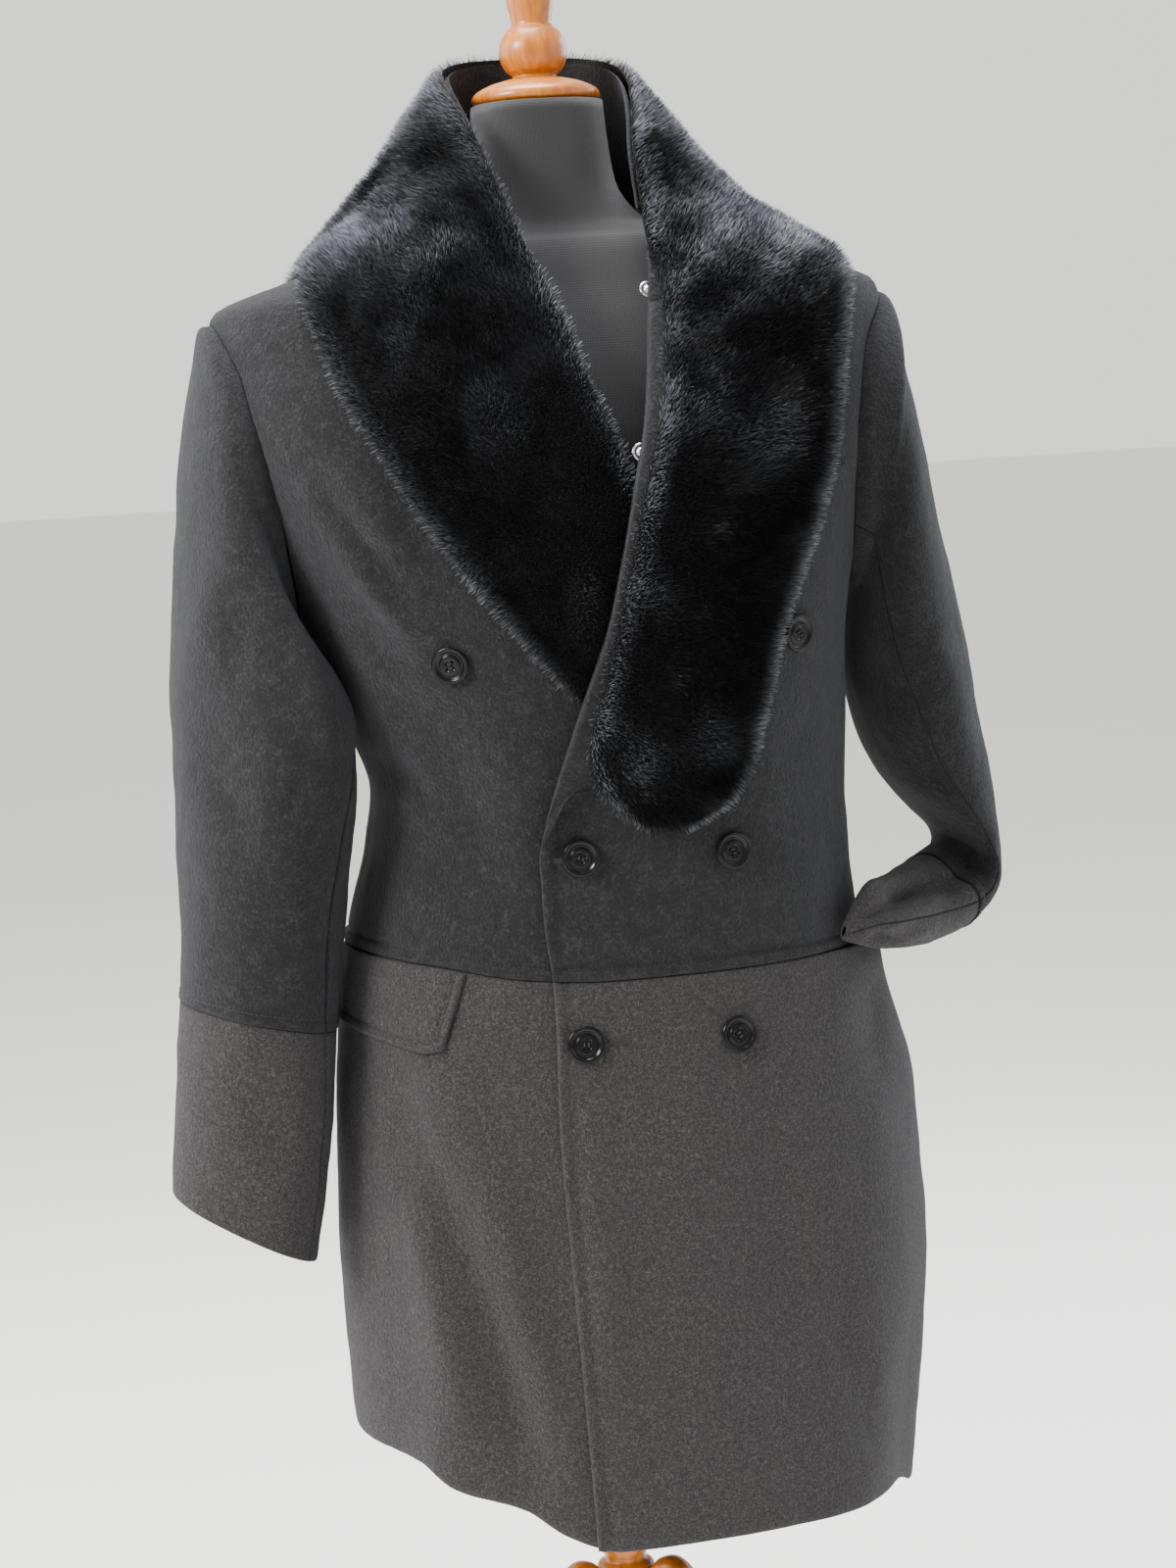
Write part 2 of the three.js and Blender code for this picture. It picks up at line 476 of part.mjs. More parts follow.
function upperBack() {
  const columns = BACK_COLUMNS;
  const heights = [null, BAND, ...BODICE_ROWS];
  const layer = (extra, band) => grid(heights.length - 1, columns, (v, share, j) => {
    const nominal = j < 2 ? 925 : heights[j];
    const seam = THREE.MathUtils.radToDeg(SEAM / 2 / bodyRight(nominal));
    const start = armholeTurn('left', nominal, true) + seam;
    const end = 360 - armholeTurn('right', nominal, true) - seam;
    const turn = lerp(start, end, share);
    const z = j < 2 ? waistZ(wrapTurn(turn)) + SEAM / 2 + j * BAND : nominal;
    return coatPoint(turn, z, extra + (j < 2 ? band : 0));
  });
  wall('back_upper', 'blackWool', layer(0, 0), layer(WOOL, BAND_RISE));
}

// Skirt panel between two turns, from the hem up to the waist seam
function skirtPanel(name, columns, turnFrom, turnTo, lift) {
  const rows = 9;
  const layer = (extra) => grid(rows, columns, (v, share) => {
    const rough = lerp(535, 925, v);
    const turn = lerp(turnFrom(rough), turnTo(rough), share);
    const low = hemZ(wrapTurn(turn));
    const dip = MOUTH.dip * bell(wrapTurn(turn), MOUTH.turn, MOUTH.spread * 0.8);
    const high = waistZ(wrapTurn(turn)) - SEAM / 2 - dip;
    const z = lerp(low, high, v ** 0.8);
    return coatPoint(turn, z, lift(turn, z) + mouthRise(wrapTurn(turn), z) + extra);
  });
  wall(name, 'greyWool', layer(0), layer(WOOL));
}

function skirt() {
  const seam = 0.05;
  skirtPanel('front_left_lower', FRONT_COLUMNS, (z) => turnAt(leftEdgeX(z), z), () => 90 - seam, leftLift);
  skirtPanel('front_right_lower', FRONT_COLUMNS, () => -90 + seam, (z) => turnAt(rightEdgeX(z), z), () => 0);
  skirtPanel('back_lower', BACK_COLUMNS, () => 90 + seam, () => 270 - seam, () => 0);
}

// Ring of a sleeve at an angle: 0 outside, 90 in front, 180 inside
function sleevePoint(row, angle, lift) {
  const outer = new THREE.Vector3(row.outX, row.y, row.outZ);
  const inner = new THREE.Vector3(row.inX, row.y, row.inZ);
  const centre = outer.clone().add(inner).multiplyScalar(0.5);
  const across = outer.sub(centre);
  const acrossLength = across.length();
  across.normalize();
  const side = Math.sign(row.outX);
  const front = new THREE.Vector3(side * Math.sin(rad(row.turn)), -Math.cos(rad(row.turn)), 0);
  const dent = row.dent * bell(angle, 132, 22);
  const c = Math.cos(rad(angle));
  const s = Math.sin(rad(angle));
  return centre.addScaledVector(across, c * (acrossLength + lift - dent))
    .addScaledVector(front, s * (row.half + lift - dent));
}

// Angle on the armhole, as on the sleeve's rings, to its point on the body. The head meets the
// body's wall edge to edge at the shoulder and stands on its outside under the arm.
function armholePoint(side, angle, lift) {
  const z = armholeHeight(angle);
  const behind = angle > 180;
  const sign = side === 'left' ? 1 : -1;
  const turn = sign * armholeTurn(side, z, behind);
  const under = clamp(-Math.cos(rad(angle)), 0, 1);
  const radial = new THREE.Vector3(0, -Math.sin(rad(angle)), Math.cos(rad(angle)));
  const out = bodyNormal(turn, z).lerp(radial, under).normalize();
  const point = coatPoint(turn, z, (WOOL + SEAM * 2) * smooth(under, 0, 0.7));
  point.x += sign * ARMHOLE_GAP * (1 - under * under);
  return point.addScaledVector(out, lift);
}

// One piece of a sleeve between two seams
function sleevePiece(name, finish, side, table, isTop, withHead, rows) {
  const gap = 0.25;
  const columns = ((isTop ? 360 - BACK_SEAM + HEAD_SEAM[side] : BACK_SEAM - HEAD_SEAM[side])) / ARMHOLE_STEP;
  const ring = (seam, pointAt) => Array.from({ length: columns + 1 }, (_, i) => {
    const from = isTop ? seam - gap : seam + gap;
    const to = isTop ? BACK_SEAM - 360 + gap : BACK_SEAM - gap;
    return pointAt((lerp(from, to, i / columns) + 360) % 360);
  });
  const layer = (lift) => {
    const stations = table.map((row) => ring(row.seam, (angle) => sleevePoint(row, angle, lift)));
    if (withHead) stations.unshift(ring(HEAD_SEAM[side], (angle) => armholePoint(side, angle, lift)));
    return loft(stations, rows);
  };
  wall(name, finish, layer(0), layer(WOOL));
}

function sleeves() {
  const tables = {
    right: { sleeve: RIGHT_SLEEVE, cuff: RIGHT_CUFF, rows: 14, cuffRows: 4 },
    left: { sleeve: LEFT_SLEEVE, cuff: LEFT_CUFF, rows: 18, cuffRows: 6 },
  };
  for (const [side, { sleeve, cuff, rows, cuffRows }] of Object.entries(tables)) {
    const lower = shifted(cuff, SEAM);
    sleevePiece(`sleeve_${side}_top`, 'blackWool', side, sleeve, true, true, rows);
    sleevePiece(`sleeve_${side}_under`, 'blackWool', side, sleeve, false, true, rows);
    sleevePiece(`cuff_${side}_top`, 'greyWool', side, lower, true, false, cuffRows);
    sleevePiece(`cuff_${side}_under`, 'greyWool', side, lower, false, false, cuffRows);
  }
}

// Cuff's rings with the first moved along by the seam's gap
function shifted(rows, gap) {
  const [a, b] = rows;
  const middle = (row) => new THREE.Vector3(row.outX + row.inX, row.y * 2, row.outZ + row.inZ);
  const length = middle(a).distanceTo(middle(b)) / 2;
  const share = gap / length;
  const first = Object.fromEntries(Object.keys(a).map((key) => [key, lerp(a[key], b[key], share)]));
  return [first, ...rows.slice(1)];
}

// Line across a lapel, on the chest at a lift
function chestLine(row, columns, lift) {
  return Array.from({ length: columns + 1 }, (_, i) => {
    const x = lerp(row.inX, row.outX, i / columns);
    const z = lerp(row.inZ, row.outZ, i / columns);
    const turn = turnAt(x, z);
    return coatPoint(turn, z, lift(turn, z, i / columns));
  });
}

// Line over the neck and shoulder, from the roll edge to the edge on the coat
function neckLine(row, columns, lift) {
  const roll = new THREE.Vector3(row.x, row.y, row.z);
  const edge = coatPoint(row.turn, row.edgeZ, lift);
  const out = bodyNormal(row.turn, row.edgeZ).add(new THREE.Vector3(0, 0, 1)).normalize();
  return Array.from({ length: columns + 1 }, (_, i) => {
    const t = i / columns;
    return roll.clone().lerp(edge, t).addScaledVector(out, row.swell * Math.sin(Math.PI * t));
  });
}

// Depth of the plush across its width: thin at its cut edges
function plushDepth(t) {
  const round = Math.sqrt(1 - Math.abs(2 * t - 1) ** 3);
  return PLUSH_EDGE + (PLUSH - PLUSH_EDGE) * round;
}

function plushCollar(side, chestRows, neckRows) {
  const left = side === 'left';
  const columns = 6;
  const rows = 26;
  const base = (turn, z) => (left ? leftLift(turn, z) : 0) + PLUSH_LIFT;
  const stations = [
    ...chestRows.map((row) => chestLine(row, columns, base)),
    ...neckRows.map((row) => neckLine(row, columns, PLUSH_LIFT)),
  ];
  const points = loft(stations, rows);
  // Flat where the left front lies on it
  const tuck = ({ x, z }) => {
    if (left || z > 1310) return 1;
    return lerp(0.4, 1, smooth(leftEdgeX(z) - x, 0, 32));
  };
  const ends = (v) => lerp(0.5, 1, smooth(v, 0, 0.06));
  const over = moved(points, left ? 1 : -1, (v, t, point) => plushDepth(t) * tuck(point) * ends(v));
  wall(`plush_collar_${side}`, 'plush', points, over);
}

function facing(side, table) {
  const left = side === 'left';
  const roll = left ? leftEdgeX : rightEdgeX;
  const rows = table.map((row) => ({ ...row, inX: roll(row.inZ) + (left ? 0.2 : -0.2) }));
  const layer = (extra) => loft(rows.map((row) => chestLine(row, 6, (turn, z) => (
    (left ? leftLift(turn, z) : 0) + FACING_LIFT + extra))), 14);
  wall(`facing_${side}`, 'blackWool', layer(0), layer(LAPEL_WALL));
}

// Collar's stand from the neckline up to the roll edge
function stand() {
  const inset = 2.2;
  const topGap = 4;
  const line = (row, turn, lift) => {
    const foot = coatPoint(turn, NECKLINE_Z + SEAM + 0.6, lift);
    const inward = new THREE.Vector3(-row.x, -row.y, 0).normalize();
    const top = new THREE.Vector3(row.x, row.y, row.z - topGap).addScaledVector(inward, inset - lift);
    return [foot, foot.clone().lerp(top, 0.5).addScaledVector(inward, 4), top];
  };
  const order = [
    ...LEFT_NECK.slice(1).map((row, k) => ({ row, turn: STAND_TURNS[k + 1] })),
    ...RIGHT_NECK.slice(1, -1).reverse().map((row, k) => ({
      row, turn: -STAND_TURNS[STAND_TURNS.length - 2 - k],
    })),
  ];
  const layer = (lift) => loft(order.map(({ row, turn }) => line(row, turn, lift)), 22);
  wall('collar_stand', 'blackWool', layer(-WOOL), layer(0));
}

// Pocket flap hanging from the waist seam on the wearer's right
function flap() {
  const columns = 10;
  const rows = 4;
  const layer = (extra) => grid(rows, columns, (v, share) => {
    const endTurn = lerp(-34, -39, v);
    const turn = lerp(-98, endTurn, share);
    const low = lerp(50, 62, share) - 5 * smooth(share, 0.9, 1);
    const z = waistZ(turn) - 1.0 - v * low;
    return coatPoint(turn, z, FLAP_LIFT + extra);
  });
  wall('pocket_flap', 'greyWool', layer(0), layer(WOOL));
}

// End of the chest pocket's welt, beside the collar
function welt() {
  const layer = (extra) => grid(3, 3, (v, share) => {
    const x = lerp(lerp(165, 174, v), lerp(184, 189, v), share);
    const z = lerp(1238, 1272, v) + 3 * share;
    const turn = turnAt(x, z);
    return coatPoint(turn, z, leftLift(turn, z) + WOOL + 0.5 + extra);
  });
  wall('chest_welt', 'blackWool', layer(0), layer(1.8));
}

function lathe(name, finish, rows, segments) {
  const first = new THREE.Vector2(0, rows[0].z);
  const last = new THREE.Vector2(0, rows[rows.length - 1].z);
  const outline = [first, ...rows.map(({ r, z }) => new THREE.Vector2(r, z)), last];
  const geometry = new THREE.LatheGeometry(outline, segments);
  geometry.rotateX(Math.PI / 2);
  return addMesh(name, finish, geometry);
}

// Set a lathed piece on the coat with its axis along the cloth's normal
function seat(mesh, turn, z, lift) {
  mesh.quaternion.setFromUnitVectors(new THREE.Vector3(0, 0, 1), bodyNormal(turn, z));
  mesh.position.copy(coatPoint(turn, z, lift));
}

function buttons() {
  const r = BUTTON_RADIUS;
  const d = BUTTON_DEPTH;
  const outline = [
    { r: r * 0.75, z: 0 }, { r, z: d * 0.45 }, { r: r * 0.93, z: d },
    { r: r * 0.72, z: d * 0.66 }, { r: r * 0.58, z: d * 0.66 }, { r: r * 0.48, z: d * 0.86 },
  ];
  for (const { name, x, z, side, gap } of BUTTONS) {
    const turn = turnAt(x, z);
    const mesh = lathe(name, 'button', outline, 16);
    seat(mesh, turn, z, (side > 0 ? leftLift(turn, z) : 0) + WOOL + gap);
  }
}

function snaps() {
  const outline = [{ r: SNAP_RADIUS, z: -2.8 }, { r: SNAP_RADIUS, z: -1.8 }, { r: 3.4, z: -0.9 }];
  for (const { name, x, z } of SNAPS) {
    const turn = turnAt(x, z);
    const mesh = lathe(name, 'snap', outline, 12);
    seat(mesh, turn, z, leftLift(turn, z));
  }
}

// The form's torso and neck, smooth and whole
function formTorso() {
  const around = 24;
  const rows = FORM.map((row) => Array.from({ length: around }, (_, i) => (
    sectionPoint((360 * i) / around, row.z, row.side, row.side, row.front, row.back))));
  const points = rows.flat();
  const faces = [];
  for (let j = 0; j < rows.length - 1; j += 1) {
    for (let i = 0; i < around; i += 1) {
      const [a, b] = [j * around + i, j * around + ((i + 1) % around)];
      faces.push([a, b, b + around], [a, b + around, a + around]);
    }
  }
  const low = points.push(new THREE.Vector3(0, 0, FORM[0].z)) - 1;
  const high = points.push(new THREE.Vector3(0, 0, FORM[FORM.length - 1].z)) - 1;
  const top = (rows.length - 1) * around;
  for (let i = 0; i < around; i += 1) {
    faces.push([low, (i + 1) % around, i], [high, top + i, top + ((i + 1) % around)]);
  }
  addMesh('form_torso', 'jersey', fromFaces(points, faces));
}

function formStand() {
  lathe('form_neck_cap', 'wood', NECK_CAP, 18);
  lathe('form_post', 'wood', POST, 16);
  const outline = new THREE.Shape([...LEG_TOP, ...LEG_UNDER].map(([r, z]) => new THREE.Vector2(r, z)));
  LEG_TURNS.forEach((turn, k) => {
    const geometry = new THREE.ExtrudeGeometry(outline, { depth: LEG_WIDTH, bevelEnabled: false });
    geometry.translate(0, 0, -LEG_WIDTH / 2);
    geometry.rotateX(Math.PI / 2);
    geometry.translate(HUB_RADIUS + SEAM, 0, 0);
    geometry.rotateZ(rad(turn));
    addMesh(`form_leg_${k + 1}`, 'wood', geometry);
  });
}

upperFront('front_left_upper', 'left');
upperFront('front_right_upper', 'right');
upperBack();
skirt();
sleeves();
facing('left', LEFT_FACING);
facing('right', RIGHT_FACING);
plushCollar('left', LEFT_PLUSH, LEFT_NECK);
plushCollar('right', RIGHT_PLUSH, RIGHT_NECK);
stand();
flap();
welt();
buttons();
snaps();
formTorso();
formStand();

// Origin under the middle of the whole part's box
const box = new THREE.Box3().setFromObject(part);
const middle = box.getCenter(new THREE.Vector3());
part.position.set(-middle.x, -middle.y, -box.min.z);

export default part;
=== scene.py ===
"""Double-breasted overcoat with a plush shawl collar, dressed over its frame on a dress form.

The cloth is shaped in millimetres with the front towards -Y and the wearer's left towards +X.
"""
import logging
import math
from dataclasses import dataclass, field
from enum import Enum
from typing import Callable, Optional, Sequence

import bmesh
import bpy
import numpy as np
from mathutils import Matrix, Vector

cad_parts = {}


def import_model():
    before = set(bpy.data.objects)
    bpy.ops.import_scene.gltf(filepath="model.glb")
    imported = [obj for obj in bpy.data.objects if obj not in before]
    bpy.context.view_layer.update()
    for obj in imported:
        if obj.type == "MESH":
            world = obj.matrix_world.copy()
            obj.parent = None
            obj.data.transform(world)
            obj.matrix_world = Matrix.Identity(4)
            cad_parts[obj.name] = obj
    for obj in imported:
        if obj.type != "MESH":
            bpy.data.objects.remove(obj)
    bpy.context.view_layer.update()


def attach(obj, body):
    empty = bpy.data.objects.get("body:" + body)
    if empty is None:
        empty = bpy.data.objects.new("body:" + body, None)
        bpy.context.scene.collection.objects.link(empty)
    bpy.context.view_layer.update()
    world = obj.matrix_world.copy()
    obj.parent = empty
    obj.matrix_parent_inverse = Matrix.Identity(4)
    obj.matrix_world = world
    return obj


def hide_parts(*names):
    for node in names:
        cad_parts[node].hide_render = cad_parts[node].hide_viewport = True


LOG = logging.getLogger("overcoat")

# The frame's origin lies under the middle of the part's box, this far from the coat's own axis
CENTRING_MM = np.array([-0.81, -52.73, 0.0])
BODY_NAME = "root"
Array = np.ndarray


# Numbers and curves

def smooth(value: Array, low: float, high: float) -> Array:
    """Return a soft step from 0 at low to 1 at high."""
    t = np.clip((np.asarray(value, float) - low) / (high - low), 0.0, 1.0)
    return t * t * (3 - 2 * t)


def bell(value: Array, centre: float, spread: float) -> Array:
    """Return a soft hump of height 1 around centre."""
    return np.exp(-(((np.asarray(value, float) - centre) / spread) ** 2) / 2)


def mix(a: Array, b: Array, share: Array) -> Array:
    """Return the value a share of the way from a to b."""
    return a + (b - a) * share


def wrap_turn(turn: Array) -> Array:
    """Return a turn in degrees brought to the range from -180 to 180."""
    return (np.asarray(turn, float) + 180.0) % 360.0 - 180.0


def unit(vectors: Array) -> Array:
    """Return vectors of length 1."""
    return vectors / np.maximum(np.linalg.norm(vectors, axis=-1, keepdims=True), 1e-9)


class Rail:
    """Monotone cubic curve through a table's rows."""

    def __init__(self, rows: Sequence[Sequence[float]], column: int = 1) -> None:
        """Fit the curve.

        Args:
            rows: rows of numbers in the order of their first column.
            column: the column that the curve gives.
        """
        self.at = np.array([row[0] for row in rows], float)
        self.value = np.array([row[column] for row in rows], float)
        rise = np.diff(self.value) / np.diff(self.at)
        slope = np.empty_like(self.at)
        slope[0], slope[-1] = rise[0], rise[-1]
        a, b = rise[:-1], rise[1:]
        total = np.where(a + b == 0, 1.0, a + b)
        slope[1:-1] = np.where(a * b > 0, 2 * a * b / total, 0.0)
        self.slope = slope

    def __call__(self, query: Array) -> Array:
        """Return the curve's value at each query."""
        q = np.clip(np.asarray(query, float), self.at[0], self.at[-1])
        i = np.clip(np.searchsorted(self.at, q, side="left") - 1, 0, len(self.at) - 2)
        h = self.at[i + 1] - self.at[i]
        t = (q - self.at[i]) / h
        return (
            (1 + 2 * t) * (1 - t) ** 2 * self.value[i]
            + t * (1 - t) ** 2 * h * self.slope[i]
            + t * t * (3 - 2 * t) * self.value[i + 1]
            + t * t * (t - 1) * h * self.slope[i + 1]
        )


def loft(stations: Array, along: Array) -> Array:
    """Return a smooth grid through stations of points.

    Args:
        stations: points by station and column.
        along: share of the way through the stations for each row, from 0 to 1.

    Returns:
        Points by row and column, on centripetal curves through the stations.
    """
    first = 2 * stations[:1] - stations[1:2]
    last = 2 * stations[-1:] - stations[-2:-1]
    p = np.concatenate([first, stations, last])
    step = np.sqrt(np.linalg.norm(np.diff(p, axis=0), axis=-1, keepdims=True))
    step = np.maximum(step, 1e-3)
    d0, d1, d2 = step[:-2], step[1:-1], step[2:]
    p0, p1, p2, p3 = p[:-3], p[1:-2], p[2:-1], p[3:]
    t1 = ((p1 - p0) / d0 - (p2 - p0) / (d0 + d1) + (p2 - p1) / d1) * d1
    t2 = ((p2 - p1) / d1 - (p3 - p1) / (d1 + d2) + (p3 - p2) / d2) * d1
    c2 = -3 * p1 + 3 * p2 - 2 * t1 - t2
    c3 = 2 * p1 - 2 * p2 + t1 + t2
    place = np.asarray(along, float) * (len(stations) - 1)
    i = np.clip(np.floor(place).astype(int), 0, len(stations) - 2)
    w = (place - i)[:, None, None]
    return p1[i] + w * (t1[i] + w * (c2[i] + w * c3[i]))


def edged(count: int, length: float, radius: float = 2.0) -> Array:
    """Return shares from 0 to 1 with close steps at both ends, for a rounded edge.

    Args:
        count: steps between the two ends.
        length: the real length that the shares stand for, in millimetres.
        radius: how far from an end the close steps reach, in millimetres.
    """
    close = np.array([0.0, 0.06, 0.22, 0.5, 1.0]) * radius / length
    inner = np.linspace(close[-1], 1 - close[-1], count)[1:-1]
    return np.concatenate([close, inner, (1 - close)[::-1]])


def rounded(shares: Array, length: float, radius: float = 2.0) -> Array:
    """Return how full the cloth is at each share: 0 at its cut edge, 1 a radius away."""
    near = np.minimum(shares, 1 - shares) * length / radius
    return np.sqrt(np.clip(1 - (1 - np.clip(near, 0, 1)) ** 2, 0, 1))


def ripple(points: Array, scale: float, seed: int) -> Array:
    """Return a soft uneven field between about -1 and 1.

    Args:
        points: places in millimetres.
        scale: rough distance between humps in millimetres.
        seed: picks the field.
    """
    rng = np.random.default_rng(seed)
    total = np.zeros(points.shape[:-1])
    for _ in range(9):
        wave = unit(rng.normal(size=3)) * (2 * math.pi / scale) * rng.uniform(0.6, 1.5)
        bend = unit(rng.normal(size=3)) * (2 * math.pi / scale) * 0.45
        total += np.sin(points @ wave + 1.3 * np.sin(points @ bend + rng.uniform(0, 6.3)))
    return total / 4.2


def grid_normals(points: Array) -> Array:
    """Return unit normals of a grid of points, by column then row."""
    return unit(np.cross(np.gradient(points, axis=1), np.gradient(points, axis=0)))


# Meshes

def in_frame(points: Array) -> list[list[float]]:
    """Return millimetres about the coat's own axis as metres in the part's frame."""
    return ((points + CENTRING_MM) * 0.001).tolist()


def put_in(name: str, data: object) -> bpy.types.Object:
    """Return a new object with the given data, put into the scene."""
    thing = bpy.data.objects.new(name, data)
    bpy.context.scene.collection.objects.link(thing)
    return thing


def add_object(name: str, points: Array, faces: Array, finishes: Sequence[bpy.types.Material],
               slots: Optional[Array] = None) -> bpy.types.Object:
    """Return a new object whose mesh has the given points.

    Args:
        name: the piece's name.
        points: places in millimetres about the coat's own axis.
        faces: four or three point numbers for each face.
        finishes: materials in slot order.
        slots: each face's material slot.
    """
    mesh = bpy.data.meshes.new(name)
    mesh.from_pydata(in_frame(points), [], [list(f) for f in faces])
    for finish in finishes:
        mesh.materials.append(finish)
    if slots is not None:
        mesh.polygons.foreach_set("material_index", np.asarray(slots, np.int32))
    mesh.polygons.foreach_set("use_smooth", np.ones(len(mesh.polygons), bool))
    tidy_mesh(mesh)
    return put_in(name, mesh)


def tidy_mesh(mesh: bpy.types.Mesh) -> None:
    """Merge a mesh's double points and turn its faces outwards."""
    work = bmesh.new()
    work.from_mesh(mesh)
    bmesh.ops.remove_doubles(work, verts=work.verts, dist=1e-6)
    bmesh.ops.dissolve_degenerate(work, edges=work.edges, dist=1e-7)
    bmesh.ops.recalc_face_normals(work, faces=work.faces)
    if work.calc_volume(signed=True) < 0:
        bmesh.ops.reverse_faces(work, faces=work.faces)
    work.to_mesh(mesh)
    work.free()


def grid_faces(rows: int, columns: int, start: int = 0) -> Array:
    """Return the four corners of every cell of a grid of points."""
    j, i = np.meshgrid(np.arange(rows - 1), np.arange(columns - 1), indexing="ij")
    a = (j * columns + i).ravel() + start
    return np.stack([a, a + 1, a + columns + 1, a + columns], axis=1)


def tube_faces(rows: int, around: int, start: int = 0) -> list[tuple[int, int, int, int]]:
    """Return the sides of a tube of rings of points, one ring after the other."""
    return [(start + j * around + k, start + j * around + (k + 1) % around,
             start + (j + 1) * around + (k + 1) % around, start + (j + 1) * around + k)
            for j in range(rows - 1) for k in range(around)]


def cap_faces(rows: int, around: int, start: int = 0) -> list[tuple[int, ...]]:
    """Return the two ends of a tube of rings of points."""
    last = start + (rows - 1) * around
    return [tuple(range(start + around - 1, start - 1, -1)), tuple(range(last, last + around))]


def cloth_wall(name: str, under: Array, over: Array, outside: bpy.types.Material,
               inside: bpy.types.Material) -> bpy.types.Object:
    """Return a closed piece of cloth between its inner and outer grid, which share their rim."""
    rows, columns = under.shape[:2]
    faces = grid_faces(rows, columns)
    outer = faces + rows * columns
    points = np.concatenate([under.reshape(-1, 3), over.reshape(-1, 3)])
    slots = np.concatenate([np.ones(len(faces)), np.zeros(len(outer))])
    return add_object(name, points, np.concatenate([faces[:, ::-1], outer]), [outside, inside], slots)


def lathe(name: str, outline: Sequence[Sequence[float]], finish: bpy.types.Material,
          segments: int = 64) -> bpy.types.Object:
    """Return a turned piece about the Z axis from rows of radius and height."""
    turns = np.linspace(0, 2 * math.pi, segments, endpoint=False)
    rows = [(0.0, outline[0][1]), *outline, (0.0, outline[-1][1])]
    points = np.array([[[r * math.cos(t), r * math.sin(t), z] for t in turns] for r, z in rows])
    return add_object(name, points.reshape(-1, 3), tube_faces(len(rows), segments), [finish])


def curve_through(rows: Sequence[Sequence[float]], count: int) -> list[tuple[float, ...]]:
    """Return a smooth line of count points through rows of numbers."""
    fine = loft(np.array(rows, float)[:, None, :], np.linspace(0, 1, count))
    return [tuple(point) for point in fine[:, 0, :]]


# Materials

def linear(code: str) -> tuple[float, float, float, float]:
    """Return the linear colour of an sRGB hex code such as #8899aa."""
    parts = [int(code[k:k + 2], 16) / 255 for k in (1, 3, 5)]
    r, g, b = [c / 12.92 if c <= 0.04045 else ((c + 0.055) / 1.055) ** 2.4 for c in parts]
    return r, g, b, 1.0


def per_mm(size: float) -> float:
    """Return a noise scale whose grains are about size millimetres."""
    return 1000.0 / size


def bands_mm(pitch: float) -> float:
    """Return a wave texture's scale whose bands repeat every pitch millimetres."""
    return math.pi / 10 / (pitch * 0.001)


def add_node(tree: bpy.types.NodeTree, kind: str, settings: Optional[dict] = None,
             inputs: Optional[dict] = None) -> bpy.types.Node:
    """Add a node to a tree.

    Args:
        tree: the material's or modifier's tree.
        kind: the node's type.
        settings: values of the node's own properties.
        inputs: a number, colour or another node's output for inputs by name or place.

    Returns:
        The new node.
    """
    node = tree.nodes.new(kind)
    for key, value in (settings or {}).items():
        setattr(node, key, value)
    for key, value in (inputs or {}).items():
        if isinstance(value, bpy.types.NodeSocket):
            tree.links.new(value, node.inputs[key])
        else:
            node.inputs[key].default_value = value
    return node


def start_material(name: str) -> tuple[bpy.types.Material, bpy.types.NodeTree]:
    """Return a new material and its empty node tree."""
    material = bpy.data.materials.new(name)
    material.use_nodes = True
    material.node_tree.nodes.clear()
    return material, material.node_tree


def end_material(tree: bpy.types.NodeTree, inputs: dict) -> None:
    """Add the surface shader with its inputs and the output."""
    shader = add_node(tree, "ShaderNodeBsdfPrincipled", inputs=inputs)
    add_node(tree, "ShaderNodeOutputMaterial", inputs={"Surface": shader.outputs["BSDF"]})


def ramp(tree: bpy.types.NodeTree, share: bpy.types.NodeSocket,
         stops: Sequence[tuple[float, str]]) -> bpy.types.NodeSocket:
    """Return the colour of a ramp with hex stops."""
    node = add_node(tree, "ShaderNodeValToRGB", inputs={"Fac": share})
    stops_of = node.color_ramp.elements
    stops_of[0].position, stops_of[0].color = stops[0][0], linear(stops[0][1])
    stops_of[1].position, stops_of[1].color = stops[-1][0], linear(stops[-1][1])
    for place, code in stops[1:-1]:
        stops_of.new(place).color = linear(code)
    return node.outputs["Color"]


def object_place(tree: bpy.types.NodeTree) -> bpy.types.NodeSocket:
    """Return places on the piece, in metres."""
    return add_node(tree, "ShaderNodeTexCoord").outputs["Object"]


def noise(tree: bpy.types.NodeTree, place: bpy.types.NodeSocket, size_mm: float, detail: float,
          **more: float) -> bpy.types.NodeSocket:
    """Return a noise of grains of a size in millimetres."""
    inputs = {"Vector": place, "Scale": per_mm(size_mm), "Detail": detail, **more}
    return add_node(tree, "ShaderNodeTexNoise", inputs=inputs).outputs["Fac"]


def wave(tree: bpy.types.NodeTree, place: bpy.types.NodeSocket, pitch_mm: float, way: str,
         **more: float) -> bpy.types.NodeSocket:
    """Return bands that repeat every pitch in millimetres."""
    inputs = {"Vector": place, "Scale": bands_mm(pitch_mm), **more}
    return add_node(tree, "ShaderNodeTexWave", {"bands_direction": way}, inputs).outputs["Fac"]


def bumps(tree: bpy.types.NodeTree, strength: float, depth_mm: float,
          height: bpy.types.NodeSocket) -> bpy.types.NodeSocket:
    """Return normals that follow a height, raised by a depth in millimetres."""
    return add_node(tree, "ShaderNodeBump", inputs={
        "Strength": strength, "Distance": depth_mm * 0.001, "Height": height}).outputs["Normal"]


